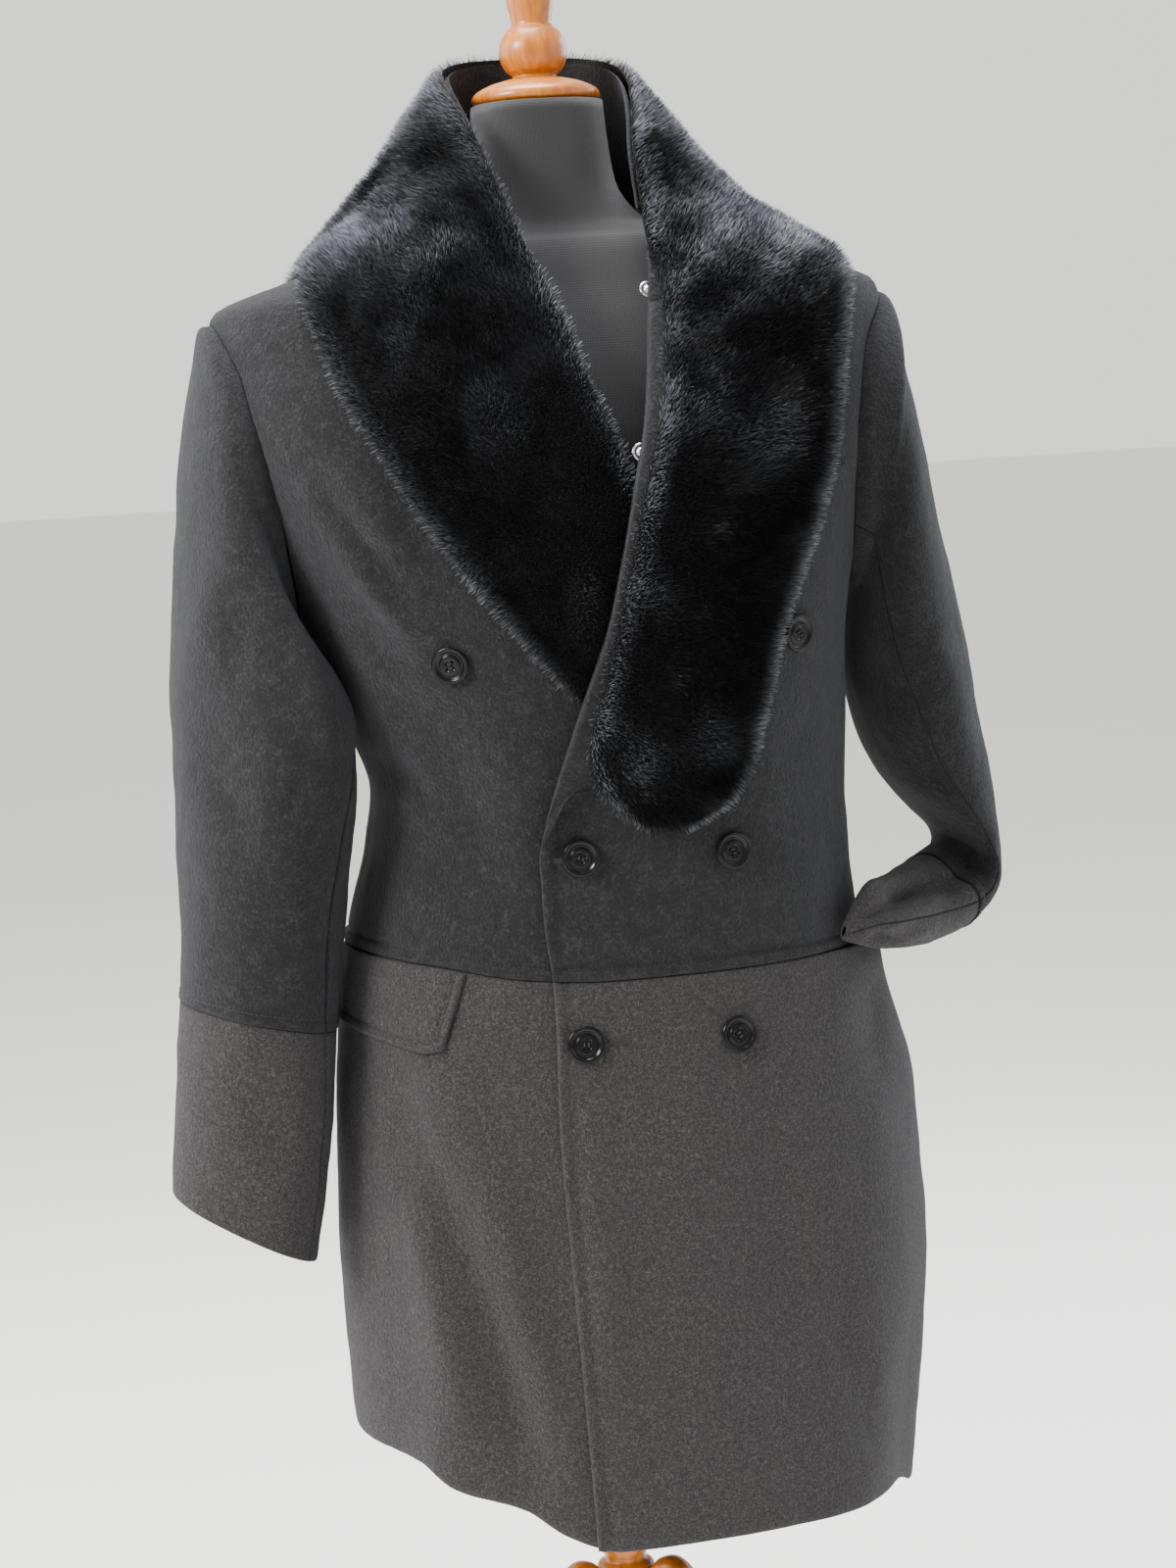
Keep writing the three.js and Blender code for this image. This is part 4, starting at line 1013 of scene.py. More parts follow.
    def point(self, turn: Array, z: Array, lift: Array = 0.0) -> Array:
        """Return points of the cloth, lifted outwards from its inside."""
        turn, z, lift = np.broadcast_arrays(np.asarray(turn, float), np.asarray(z, float), lift)
        out = (lift + self.fold_rise(turn, z))[..., None]
        return self.base(turn, z) + self.normal(turn, z) * out

    def turn_at(self, x: Array, z: Array) -> Array:
        """Return the front's turn at given places across."""
        x = np.asarray(x, float)
        width = np.where(x >= 0, self.widths[Side.LEFT](z), self.widths[Side.RIGHT](z))
        share = np.clip(np.abs(x) / width, 0, 1) ** (self.squareness / 2)
        return np.sign(x) * np.degrees(np.arcsin(share))

    def armhole_turn(self, side: Side, z: Array, behind: bool) -> Array:
        """Return the turn of the armhole's edge, 90 below and above it."""
        high = np.clip((np.asarray(z, float) - ARMHOLE_Z) / ARMHOLE_HALF, -1, 1)
        reach = self.armhole_back if behind else self.armhole_front[side]
        depth = reach * np.sqrt(1 - high * high)
        full = self.back(z) if behind else self.front(z)
        away = np.degrees(np.arccos(np.clip(depth / full, 0, 1) ** (self.squareness / 2)))
        return 180 - away if behind else away

    def left_lift(self, turn: Array, z: Array) -> Array:
        """Return how far the left front lies out over the right one and its plush."""
        overlap = self.overlap_lift * (1 - smooth(turn, 32, 62))
        x = self.base(turn, z)[..., 0]
        level = smooth(z, 1030, 1130) * (1 - smooth(z, 1265, 1375))
        return overlap + self.tuck_lift * level * (1 - smooth(x, 50, 140))

    def side_lift(self, side: Optional[Side], turn: Array, z: Array) -> Array:
        """Return the lift of one side's front, none for the right and the back."""
        if side is Side.LEFT:
            return self.left_lift(turn, z)
        return np.zeros(np.broadcast(turn, z).shape)

    def mouth(self, turn: Array, z: Array) -> Array:
        """Return how far the pocket's mouth stands out."""
        swell = self.mouth_rise * bell(turn, self.mouth_turn, self.mouth_spread)
        return np.where(z > self.mouth_z + 8, 0, swell * bell(z, self.mouth_z, self.mouth_fade))

    def relief(self, side: Optional[Side], turn: Array, z: Array) -> Array:
        """Return how far creases, seams and the cloth's unevenness lift each point."""
        turn, z = np.broadcast_arrays(np.asarray(turn, float), np.asarray(z, float))
        place = self.point(turn, z, self.side_lift(side, turn, z))
        total = 0.7 * ripple(place, 75, 3) + 0.25 * ripple(place, 24, 4)
        for creases, way in ((self.creases, 1), (self.back_creases, -1)):
            facing = smooth(way * np.cos(np.radians(turn)), 0.0, 0.35)
            for crease in creases:
                total = total + crease.at(place) * facing
        above = z - self.waist(wrap_turn(turn))
        total = total + np.where(above > 0, 1.3 * (1 - smooth(above, 6.0, 8.5)), 0.0)
        total = total - np.where(above > 0, 1.5 * bell(above, WAIST_STITCH_MM, 1.4), 0.0)
        if side is Side.LEFT:
            inset = place[..., 0] - self.edges[side](z)
            edge = 1.3 * (1 - smooth(inset, 4.5, 7.0)) - 2.5 * bell(inset, STITCH_INSET_MM, 1.9)
            total = total + edge * (1 - smooth(z, 1015, 1032))
        return total

    def cloth(self, side: Optional[Side], turn: Array, z: Array, extra: Array = 0.0) -> Array:
        """Return points of the finished cloth, above its inside by extra."""
        lift = self.side_lift(side, turn, z) + self.relief(side, turn, z)
        below = z < self.waist(wrap_turn(turn))
        lift = lift + np.where(below, self.mouth(wrap_turn(turn), z), 0.0)
        return self.point(turn, z, lift + extra)

    def outside(self, side: Side, x: Array, z: Array, extra: float = 0.0) -> tuple[Array, Array]:
        """Return points on the outside of a front's cloth, and the outward directions there."""
        turn = self.turn_at(x, z)
        return self.cloth(side, turn, np.asarray(z, float), WOOL_MM + extra), self.normal(turn, z)


@dataclass(frozen=True)
class Cut:
    """Flat pattern piece: its width and length in metres, and its area where it isn't a rectangle."""

    width: float
    length: float
    area: Optional[float] = None
    held: str = "draped"
    rests_on: tuple[str, ...] = ("form_torso",)

    def declare(self, piece: bpy.types.Object, with_pieces: Sequence[bpy.types.Object] = ()) -> None:
        """Do nothing with the piece: the pattern is not stored on it."""


@dataclass
class Bodice:
    """Black upper coat: two fronts and a back between the waist seam and the neckline."""

    coat: CoatBody
    finishes: Finishes
    columns: int = 80
    waist_row: float = 925.0
    blend_row: float = 962.0
    front_cut: Cut = Cut(0.36, 0.55, 0.15, rests_on=("front_right_upper", "form_torso"))
    under_cut: Cut = Cut(0.38, 0.55, 0.165)
    back_cut: Cut = Cut(0.60, 0.56, 0.28)

    def rows(self) -> Array:
        """Return the rows' heights, with close ones at the seams."""
        armhole = ARMHOLE_Z - ARMHOLE_HALF * np.cos(np.radians(np.arange(0, 181, 3)))
        low = self.waist_row + np.array([0.0, 0.12, 0.44, 1.0, 2.0, 4.0])
        return np.concatenate([
            low, np.arange(931, 942, 1.4), np.arange(945, 1182, 7.0), armhole,
            np.arange(1404, 1453, 4.0), NECKLINE_Z - np.array([2.0, 1.0, 0.44, 0.12, 0.0])])

    def grids(self, side: Optional[Side], start: Array, end: Array) -> tuple[Array, Array]:
        """Return a panel's inner and outer grid between two turns for each row."""
        nominal = self.rows()[:, None]
        share = edged(self.columns, 220.0)[None, :]
        turn = mix(start[:, None], end[:, None], share)
        foot = self.coat.waist(wrap_turn(turn)) + SEAM_MM / 2
        low = mix(foot, self.blend_row, (nominal - self.waist_row) / (self.blend_row - self.waist_row))
        z = np.where(nominal < self.blend_row, low, nominal)
        length = NECKLINE_Z - self.waist_row
        full = np.minimum(rounded(share, 220.0), rounded((nominal - self.waist_row) / length, length))
        under = self.coat.cloth(side, turn, z)
        return under, self.coat.cloth(side, turn, z, WOOL_MM * full)

    def front(self, side: Side) -> bpy.types.Object:
        """Return one upper front."""
        nominal = self.rows()
        start = self.coat.turn_at(self.coat.edges[side](nominal), nominal)
        seam = np.degrees(SEAM_MM / 2 / self.coat.widths[Side.LEFT](nominal))
        end = side.value * (self.coat.armhole_turn(side, nominal, False) - seam)
        under, over = self.grids(side, start, end)
        name = f"front_{side.word}_upper"
        piece = cloth_wall(f"coat_{name}", under, over, self.finishes.black, self.finishes.lining)
        hand_in(piece, Slot.BLACK_WOOL, name)
        (self.front_cut if side is Side.LEFT else self.under_cut).declare(piece)
        return piece

    def behind(self) -> bpy.types.Object:
        """Return the upper back."""
        nominal = self.rows()
        seam = np.degrees(SEAM_MM / 2 / self.coat.widths[Side.RIGHT](nominal))
        start = self.coat.armhole_turn(Side.LEFT, nominal, True) + seam
        end = 360 - self.coat.armhole_turn(Side.RIGHT, nominal, True) - seam
        under, over = self.grids(None, start, end)
        piece = cloth_wall("coat_back_upper", under, over, self.finishes.black, self.finishes.lining)
        hand_in(piece, Slot.BLACK_WOOL, "back_upper")
        self.back_cut.declare(piece)
        return piece


@dataclass
class Skirt:
    """Grey lower coat: two fronts and a back from the waist seam to the hem."""

    coat: CoatBody
    finishes: Finishes
    row_count: int = 90
    columns: int = 90
    length: float = 410.0
    left_cut: Cut = Cut(0.34, 0.43, 0.135, "hung", ("front_left_upper", "front_right_lower"))
    right_cut: Cut = Cut(0.36, 0.41, 0.135, "hung", ("front_right_upper",))
    back_cut: Cut = Cut(0.58, 0.43, 0.235, "hung", ("back_upper",))

    def panel(self, name: str, side: Optional[Side], start: Callable[[Array], Array],
              end: Callable[[Array], Array], cut: Cut) -> bpy.types.Object:
        """Return one skirt panel.

        Args:
            name: the node that the panel stands for.
            side: the front's side, or none for the back.
            start: the turn of the panel's first edge at each height.
            end: the turn of its other edge.
            cut: its flat pattern.
        """
        v = edged(self.row_count, self.length, 2.4)[:, None]
        share = edged(self.columns, 230.0)[None, :]
        rough = mix(535.0, 925.0, v)
        turn = mix(start(rough), end(rough), share)
        flat_turn = wrap_turn(turn)
        coat = self.coat
        dip = coat.mouth_dip * bell(flat_turn, coat.mouth_turn, coat.mouth_spread * 0.8)
        z = mix(coat.hem(flat_turn), coat.waist(flat_turn) - SEAM_MM / 2 - dip, v ** 0.8)
        full = np.minimum(rounded(share, 230.0), rounded(v, self.length, 2.4))
        under = coat.cloth(side, turn, z)
        over = coat.cloth(side, turn, z, WOOL_MM * full)
        piece = cloth_wall(f"coat_{name}", under, over, self.finishes.grey, self.finishes.lining)
        hand_in(piece, Slot.GREY_WOOL, name)
        cut.declare(piece)
        return piece

    def build(self) -> None:
        """Build the three panels."""
        def edge(side: Side) -> Callable[[Array], Array]:
            """Return a front's edge, as a turn by height."""
            return lambda z: self.coat.turn_at(self.coat.edges[side](z), z)

        def seam(turn: float) -> Callable[[Array], Array]:
            """Return a side seam that runs straight down."""
            return lambda z: turn + 0 * z

        self.panel("front_left_lower", Side.LEFT, edge(Side.LEFT), seam(90), self.left_cut)
        self.panel("front_right_lower", Side.RIGHT, seam(-90), edge(Side.RIGHT), self.right_cut)
        self.panel("back_lower", None, seam(90), seam(270), self.back_cut)


@dataclass
class Sleeves:
    """Two-piece sleeves set into the armholes, black to the seam and grey below."""

    coat: CoatBody
    finishes: Finishes
    back_seam: float = 234.0
    armhole_gap: float = 0.5
    right_rings: tuple = (
        (-257, 1395, -204, 1182, 1, 76, 147, -3, 0), (-265, 1366, -206, 1179, 1, 78, 150, -8, 0),
        (-278, 1300, -201, 1168, -2, 80, 152, -18, -4),
        (-286, 1225, -193, 1146, -8, 81, 154, -24, -7),
        (-294, 1150, -184, 1113, -16, 80, 152, -20, -8),
        (-298, 1080, -178, 1070, -23, 76, 138, -10, -7),
        (-301, 1010, -182, 1010, -24, 71, 132, -5, -4),
        (-304, 955, -191, 945, -26, 66, 132, -5, 0), (-308, 915, -200, 887, -28, 63, 136, -6, 0),
    )
    right_cuff_rings: tuple = (
        (-308, 915, -200, 887, -28, 63, 136, -6, 0), (-313, 869, -206, 836, -30, 60, 137, -8, 0),
        (-319, 820, -216, 777, -33, 57, 138, -9, 0), (-324, 772, -228, 719, -35, 54, 138, -9, 0),
    )
    left_rings: tuple = (
        (256, 1390, 213, 1182, -1, 82, 129, 0, 0), (259, 1362, 217, 1179, -1, 80, 132, 0, 0),
        (270, 1300, 217, 1167, 0, 80, 130, 0, 0), (285, 1228, 216, 1150, 3, 78, 126, 0, 0),
        (300, 1158, 216, 1121, 8, 72, 118, 0, 0), (311, 1092, 223, 1079, 12, 64, 106, 0, 0),
        (320, 1040, 240, 1037, 15, 55, 98, 0, 0), (324, 1002, 266, 1004, 17, 48, 90, 2, 3),
        (324, 966, 287, 984, 18, 43, 84, 5, 8), (316, 941, 293, 977, 15, 41, 82, 8, 16),
        (299, 924, 284, 971, 7, 39, 80, 12, 28), (279, 912, 271, 968, -6, 36, 80, 15, 38),
    )
    left_cuff_rings: tuple = (
        (279, 912, 271, 968, -6, 36, 80, 15, 38), (259, 909, 252, 966, -27, 29, 80, 17, 44),
        (240, 910, 232, 965, -50, 21, 80, 13, 50), (220, 914, 213, 965, -73, 14, 80, 8, 48),
        (200, 918, 195, 962, -92, 9, 80, 3, 40), (171, 930, 173, 937, -106, 1, 80, 0, 34),
    )
    head_seams: tuple = (144.0, 126.0)
    stitch_lines: list = field(default_factory=list)
    creases: tuple = (
        Crease(-262, 1330, -240, 1180, 16, 3.0), Crease(-236, 1330, -215, 1230, 12, -2.0),
        Crease(-280, 1180, -262, 1010, 16, -2.4), Crease(-232, 1130, -238, 1000, 14, 2.0),
        Crease(-212, 1075, -250, 1030, 12, -1.6), Crease(-262, 960, -270, 840, 16, 1.6),
        Crease(258, 1330, 250, 1200, 14, 2.4), Crease(284, 1270, 286, 1110, 14, -2.0),
        Crease(262, 1150, 296, 1040, 12, 2.4), Crease(240, 1060, 300, 985, 10, -2.4),
        Crease(258, 1030, 308, 990, 8, 2.6), Crease(262, 1006, 312, 968, 7, -2.2),
        Crease(282, 1000, 318, 955, 6, 2.0), Crease(262, 962, 305, 942, 8, 2.2),
        Crease(268, 957, 178, 938, 6, -6.0), Crease(270, 946, 172, 930, 7, 3.5),
        Crease(226, 912, 190, 934, 5, -4.0), Crease(262, 930, 215, 918, 8, 2.0),
        Crease(-256, 1250, -288, 1140, 12, 2.8), Crease(-240, 1240, -262, 1120, 11, -2.4),
        Crease(-212, 1180, -190, 1090, 9, 2.4), Crease(-290, 1090, -250, 1040, 12, -2.2),
        Crease(-280, 880, -240, 800, 14, -2.4),
    )
    cuts: dict = field(default_factory=lambda: {
        "sleeve_right_top": Cut(0.34, 0.50, 0.145), "sleeve_right_under": Cut(0.14, 0.36, 0.040),
        "cuff_right_top": Cut(0.21, 0.17, 0.032, "hung", ("sleeve_right_top",)),
        "cuff_right_under": Cut(0.10, 0.17, 0.015, "hung", ("sleeve_right_under",)),
        "sleeve_left_top": Cut(0.34, 0.54, 0.135), "sleeve_left_under": Cut(0.15, 0.42, 0.048),
        "cuff_left_top": Cut(0.13, 0.15, 0.0125, "folded", ("sleeve_left_top",)),
        "cuff_left_under": Cut(0.09, 0.14, 0.0088, "folded", ("sleeve_left_under",)),
    })

    def ring_points(self, row: tuple, angle: Array, lift: float) -> Array:
        """Return points round a ring: 0 outside, 90 in front, 180 inside."""
        out_x, out_z, in_x, in_z, y, half, _, dent, turn = row
        outer, inner = np.array([out_x, y, out_z], float), np.array([in_x, y, in_z], float)
        centre = (outer + inner) / 2
        reach = np.linalg.norm(outer - centre)
        across = (outer - centre) / reach
        front = np.array([np.sign(out_x) * math.sin(math.radians(turn)),
                          -math.cos(math.radians(turn)), 0.0])
        sink = (lift - dent * bell(angle, 132, 22))[:, None]
        c, s = np.cos(np.radians(angle))[:, None], np.sin(np.radians(angle))[:, None]
        return centre + across * c * (reach + sink) + front * s * (half + sink)

    def armhole_points(self, side: Side, angle: Array, lift: float) -> Array:
        """Return points of the sleeve's head where it meets the body."""
        z = ARMHOLE_Z + ARMHOLE_HALF * np.cos(np.radians(angle))
        turn = np.where(angle > 180, self.coat.armhole_turn(side, z, True),
                        self.coat.armhole_turn(side, z, False)) * side.value
        under = np.clip(-np.cos(np.radians(angle)), 0, 1)
        radial = np.stack([0 * angle, -np.sin(np.radians(angle)), np.cos(np.radians(angle))], axis=-1)
        out = unit(mix(self.coat.normal(turn, z), radial, under[:, None]))
        point = self.coat.point(turn, z, (WOOL_MM + SEAM_MM * 2) * smooth(under, 0, 0.7))
        point[:, 0] += side.value * self.armhole_gap * (1 - under * under)
        return point + out * lift

    def relief(self, points: Array, normals: Array) -> Array:
        """Return how far creases and unevenness lift the sleeve."""
        total = 0.8 * ripple(points, 70, 11) + 0.3 * ripple(points, 22, 12)
        facing = smooth(-normals[..., 1], 0.0, 0.5)
        for crease in self.creases:
            total = total + crease.at(points) * facing
        return total

    def seam_dip(self, along: Array) -> Array:
        """Return the stitched hollow above the seam to the cuff, by millimetres from the seam."""
        return 0.9 * (1 - smooth(along, 6.5, 8.5)) - 0.8 * bell(along, SLEEVE_STITCH_MM, 1.0)

    def piece(self, name: str, side: Side, rings: tuple, is_top: bool, has_head: bool,
              rows: int, length: float) -> bpy.types.Object:
        """Return one piece of a sleeve between its two seams.

        Args:
            name: the node that it stands for.
            side: the wearer's side.
            rings: the sleeve's table.
            is_top: whether it is the top piece, not the under piece.
            has_head: whether it starts at the armhole.
            rows: steps along the sleeve.
            length: its rough length in millimetres.
        """
        head = self.head_seams[0 if side is Side.RIGHT else 1]
        share = edged(64 if is_top else 28, 200.0 if is_top else 80.0, 1.6)
        v = edged(rows, length, 1.6)

        def angles(seam: float) -> Array:
            """Return the ring's angles between the piece's seams."""
            if is_top:
                return (mix(seam - 0.12, self.back_seam - 360 + 0.12, share) + 360) % 360
            return mix(seam + 0.12, self.back_seam - 0.12, share)

        def layer(lift: float) -> Array:
            """Return the grid at a lift from the inside."""
            stations = [self.ring_points(row, angles(row[6]), lift) for row in rings]
            if has_head:
                stations.insert(0, self.armhole_points(side, angles(head), lift))
            return loft(np.array(stations), v)

        under, over = layer(0.0), layer(WOOL_MM)
        out = unit(over - under)
        lift = self.relief(over, out)
        if has_head:
            steps = np.linalg.norm(np.diff(over, axis=0), axis=-1)
            from_head = np.concatenate([np.zeros((1, len(share))), np.cumsum(steps, axis=0)])
            from_seam = from_head[-1:] - from_head
            lift = (lift * smooth(from_head, 4, 40) + self.seam_dip(from_seam)
                    - 1.5 * np.exp(-(from_head / 3.0) ** 2) + 1.3 * bell(from_head, 9.0, 5.0))
        full = np.minimum(rounded(share, 200.0 if is_top else 80.0, 1.6)[None, :],
                          rounded(v, length, 1.6)[:, None])[..., None]
        low = under + out * lift[..., None]
        high = low + (over - under) * full
        black = name.startswith("sleeve")
        finish = self.finishes.black if black else self.finishes.grey
        made = cloth_wall(f"coat_{name}", low, high, finish, self.finishes.lining)
        hand_in(made, Slot.BLACK_WOOL if black else Slot.GREY_WOOL, name)
        self.cuts[name].declare(made)
        if has_head:
            row = int(np.argmin(np.abs(from_seam.mean(axis=1) - SLEEVE_STITCH_MM)))
            inner = slice(3, -3)
            line, up = high[row, inner], out[row, inner]
            self.stitch_lines.append((line - up * STITCH_SINK_MM, up))
        return made

    def build(self) -> None:
        """Build the eight sleeve pieces."""
        for side, rings, cuffs, rows, length, cuff_length in (
                (Side.RIGHT, self.right_rings, self.right_cuff_rings, 130, 470.0, 160.0),
                (Side.LEFT, self.left_rings, self.left_cuff_rings, 150, 500.0, 95.0)):
            for is_top in (True, False):
                word = f"{side.word}_{'top' if is_top else 'under'}"
                self.piece(f"sleeve_{word}", side, rings, is_top, True, rows, length)
                self.piece(f"cuff_{word}", side, cuffs, is_top, False, 56, cuff_length)


@dataclass
class Lapels:
    """Wool facings under the plush: the left one shows as a strip along the roll line."""

    coat: CoatBody
    finishes: Finishes
    lift: float = WOOL_MM + 1.45
    wall: float = 3.4
    left_rows: tuple = (
        (1022, -50, 1024), (1046, -22, 1066), (1072, 60, 1076), (1100, 90, 1100), (1132, 99, 1132),
        (1168, 109, 1168), (1213, 130, 1213), (1260, 150, 1260), (1306, 165, 1306),
        (1350, 176, 1350), (1392, 184, 1384),
    )
    right_rows: tuple = (
        (1128, 26, 1126), (1146, -14, 1144), (1170, -40, 1172), (1212, -73, 1212),
        (1262, -102, 1257), (1304, -128, 1304), (1343, -150, 1343), (1385, -163, 1380),
    )
    left_cut: Cut = Cut(0.17, 0.42, 0.047, "laid", ("front_left_upper",))
    right_cut: Cut = Cut(0.17, 0.33, 0.034, "laid", ("front_right_upper",))

    def build(self) -> None:
        """Build both facings."""
        for side, rows, cut in ((Side.LEFT, self.left_rows, self.left_cut),
                                (Side.RIGHT, self.right_rows, self.right_cut)):
            share = edged(40, 120.0, 2.4)
            along = edged(110, 380.0, 2.4)
            layers = [self.layer(side, rows, share, along, extra) for extra in (0.0, self.wall)]
            full = np.minimum(rounded(share, 120.0, 2.4)[None, :], rounded(along, 380.0, 2.4)[:, None])
            rolled = full * (1 + 1.1 * np.exp(-(along * 380 / 16) ** 2))[:, None]
            over = mix(layers[0], layers[1], rolled[..., None])
            name = f"facing_{side.word}"
            made = cloth_wall(f"coat_{name}", layers[0], over, self.finishes.black, self.finishes.lining)
            hand_in(made, Slot.BLACK_WOOL, name)
            cut.declare(made)

    def layer(self, side: Side, rows: tuple, share: Array, along: Array, extra: float) -> Array:
        """Return one face of a facing as a grid."""
        stations = []
        for in_z, out_x, out_z in rows:
            roll = float(self.coat.edges[side](in_z)) + 0.2 * side.value
            x, z = mix(roll, out_x, share), mix(in_z, out_z, share)
            turn = self.coat.turn_at(x, z)
            stations.append(self.coat.cloth(side, turn, z, self.lift + extra))
        return loft(np.array(stations), along)


@dataclass
class PlushCollar:
    """Shawl collar of long plush: over the lapels, across the shoulders, round the neck."""

    coat: CoatBody
    finishes: Finishes
    lift: float = 8.8
    depth: float = 12.0
    body_share: float = 0.5
    columns: int = 44
    row_count: int = 230
    hairs_per_mm2: float = 0.72
    left_chest: tuple = (
        (20, 1030, 46, 1028), (-3, 1049, 77, 1042), (-16, 1071, 94, 1067), (-17, 1098, 103, 1099),
        (-9, 1130, 112, 1131), (1, 1168, 123, 1167), (14, 1213, 144, 1212), (27, 1260, 164, 1260),
        (42, 1306, 179, 1308), (54, 1350, 189, 1352), (59, 1392, 199, 1386),
    )
    right_chest: tuple = (
        (36, 1108, 6, 1104), (50, 1124, -16, 1117), (52, 1144, -34, 1138), (48, 1170, -56, 1167),
        (38, 1212, -88, 1208), (27, 1262, -117, 1253), (14, 1304, -143, 1301), (0, 1343, -165, 1343),
        (-12, 1385, -178, 1384),
    )
    left_neck: tuple = (
        (58, -98, 1430, 55, 1404, 12), (56, -84, 1468, 73, 1418, 6), (56, -68, 1508, 91, 1422, 0),
        (62, -42, 1542, 110, 1419, -3), (66, -8, 1565, 130, 1413, 0), (62, 30, 1579, 148, 1407, 5),
        (42, 58, 1587, 164, 1404, 9), (0.3, 72, 1590, 179.8, 1402, 10),
    )
    right_neck: tuple = (
        (-27, -102, 1430, -47, 1408, 12), (-40, -88, 1468, -64, 1424, 4),
        (-52, -70, 1508, -84, 1433, -6), (-62, -42, 1542, -104, 1431, -9),
        (-67, -8, 1565, -127, 1418, -4), (-62, 30, 1579, -148, 1408, 4),
        (-42, 58, 1587, -164, 1404, 9), (-0.3, 72, 1590, -179.8, 1402, 10),
    )
    stand_turns: tuple = (29, 40, 56, 76, 98, 124, 150, 179.8)
    left_cut: Cut = Cut(0.20, 0.78, 0.115, "folded", ("facing_left", "collar_stand"))
    right_cut: Cut = Cut(0.20, 0.70, 0.100, "folded", ("facing_right", "collar_stand"))
    stand_cut: Cut = Cut(0.42, 0.13, 0.034, "folded", ("back_upper",))

    def inner_face(self, side: Side, share: Array, along: Array) -> Array:
        """Return the collar's underside as a grid."""
        chest, neck = ((self.left_chest, self.left_neck) if side is Side.LEFT
                       else (self.right_chest, self.right_neck))
        stations = []
        for in_x, in_z, out_x, out_z in chest:
            x, z = mix(in_x, out_x, share), mix(in_z, out_z, share)
            turn = self.coat.turn_at(x, z)
            lift = self.coat.side_lift(side, turn, z) + self.lift
            stations.append(self.coat.point(turn, z, lift))
        for x, y, z, turn, edge_z, swell in neck:
            edge = self.coat.point(np.array(turn), np.array(edge_z), self.lift)
            out = unit(self.coat.normal(np.array(turn), np.array(edge_z)) + np.array([0, 0, 1.0]))
            hump = np.sin(math.pi * share)[:, None] * swell * out
            stations.append(mix(np.array([x, y, z], float), edge, share[:, None]) + hump)
        return loft(np.array(stations), along)

    def tuck(self, side: Side, points: Array) -> Array:
        """Return how much of its depth the pile keeps: less where the left front lies on it."""
        if side is Side.LEFT:
            return np.ones(points.shape[:-1])
        near = smooth(self.coat.edges[Side.LEFT](points[..., 2]) - points[..., 0], 0, 32)
        return np.where(points[..., 2] > 1310, 1.0, mix(0.4, 1.0, near))

    def side_piece(self, side: Side) -> None:
        """Build one half of the collar with its hairs."""
        share = (1 - np.cos(np.linspace(0, math.pi, self.columns + 1))) / 2
        along = edged(self.row_count, 760.0, 6.0)
        under = self.inner_face(side, share, along)
        out = grid_normals(under) * side.value
        kept = self.tuck(side, under)
        across = np.sqrt(np.clip(1 - np.abs(2 * share - 1) ** 2.6, 0, 1))[None, :]
        ends = np.sqrt(np.clip(1 - (1 - np.clip(along * 760 / 14, 0, 1)) ** 2, 0, 1))[:, None]
        lumps = 1.4 * ripple(under, 70, 21) + 0.5 * ripple(under, 28, 22)
        body = (self.depth * self.body_share + lumps * smooth(kept, 0.6, 0.95)) * kept
        over = under + out * (body * across * ends)[..., None]
        name = f"plush_collar_{side.word}"
        made = cloth_wall(f"coat_{name}", under, over, self.finishes.backing, self.finishes.black)
        hand_in(made, Slot.PLUSH, name)
        hairs = self.pile(side, over, share, along)
        (self.left_cut if side is Side.LEFT else self.right_cut).declare(made, hairs)

    def pile(self, side: Side, over: Array, share: Array, along: Array) -> list[bpy.types.Object]:
        """Return the hairs on one half of the collar, in pieces from the lapel to the back."""
        normals = grid_normals(over) * side.value
        flow = unit(np.gradient(over, axis=1))
        length = unit(np.gradient(over, axis=0))
        swirl = 0.9 * ripple(over, 70, 31) + 0.35 * ripple(over, 26, 32)
        heading = flow * np.cos(swirl)[..., None] + length * np.sin(swirl)[..., None]
        lean = np.radians(26 + 14 * ripple(over, 46, 33))[..., None]
        nap = normals * np.cos(lean) + heading * np.sin(lean)
        # Painted highlight: the gleam mask pales the hairs near the collar's edges, along broad streaks and
        # where the pile faces up towards the top lamp.
        rim = smooth(np.abs(2 * share - 1), 0.74, 0.98)[None, :]
        highlight_streaks = smooth(ripple(over * np.array([1.0, 1.0, 0.4]), 58, 34), 0.2, 1.0)
        gleam = np.clip(0.75 * rim + 0.35 * highlight_streaks + 1.0 * smooth(normals[..., 2], 0.3, 0.85), 0, 1)
        pieces = []
        cuts = np.linspace(0, len(along) - 1, 4).astype(int)
        for k in range(3):
            rows = slice(cuts[k], cuts[k + 1] + 1)
            part = over[rows]
            mesh = bpy.data.meshes.new("pile_ground")
            mesh.from_pydata(in_frame(part.reshape(-1, 3)), [],
                             grid_faces(*part.shape[:2])[:, ::side.value].tolist())
            for label, kind, values in (("nap", "FLOAT_VECTOR", nap[rows]),
                                        ("gleam", "FLOAT", gleam[rows])):
                store = mesh.attributes.new(label, kind, "POINT")
                store.data.foreach_set("vector" if kind == "FLOAT_VECTOR" else "value",
                                       values.astype(np.float32).ravel())
            piece = grow(put_in("pile_ground", mesh), f"plush_hairs_{side.word}_{k + 1}", self.tree, {
                "Template": self.hair, "Finish": self.finishes.hair, "Jitter": 0.24,
                "Per Square Metre": self.hairs_per_mm2 * 1e6, "Seed": 20.0 + k + 5 * side.value})
            pieces.append(hand_in(piece, Slot.PLUSH))
        return pieces

    def stand(self) -> None:
        """Build the stand inside the collar."""
        share = edged(26, 120.0)
        along = edged(150, 420.0)
        order = [(row, self.stand_turns[k + 1]) for k, row in enumerate(self.left_neck[1:])]
        order += [(row, -self.stand_turns[-2 - k]) for k, row in enumerate(self.right_neck[1:-1][::-1])]

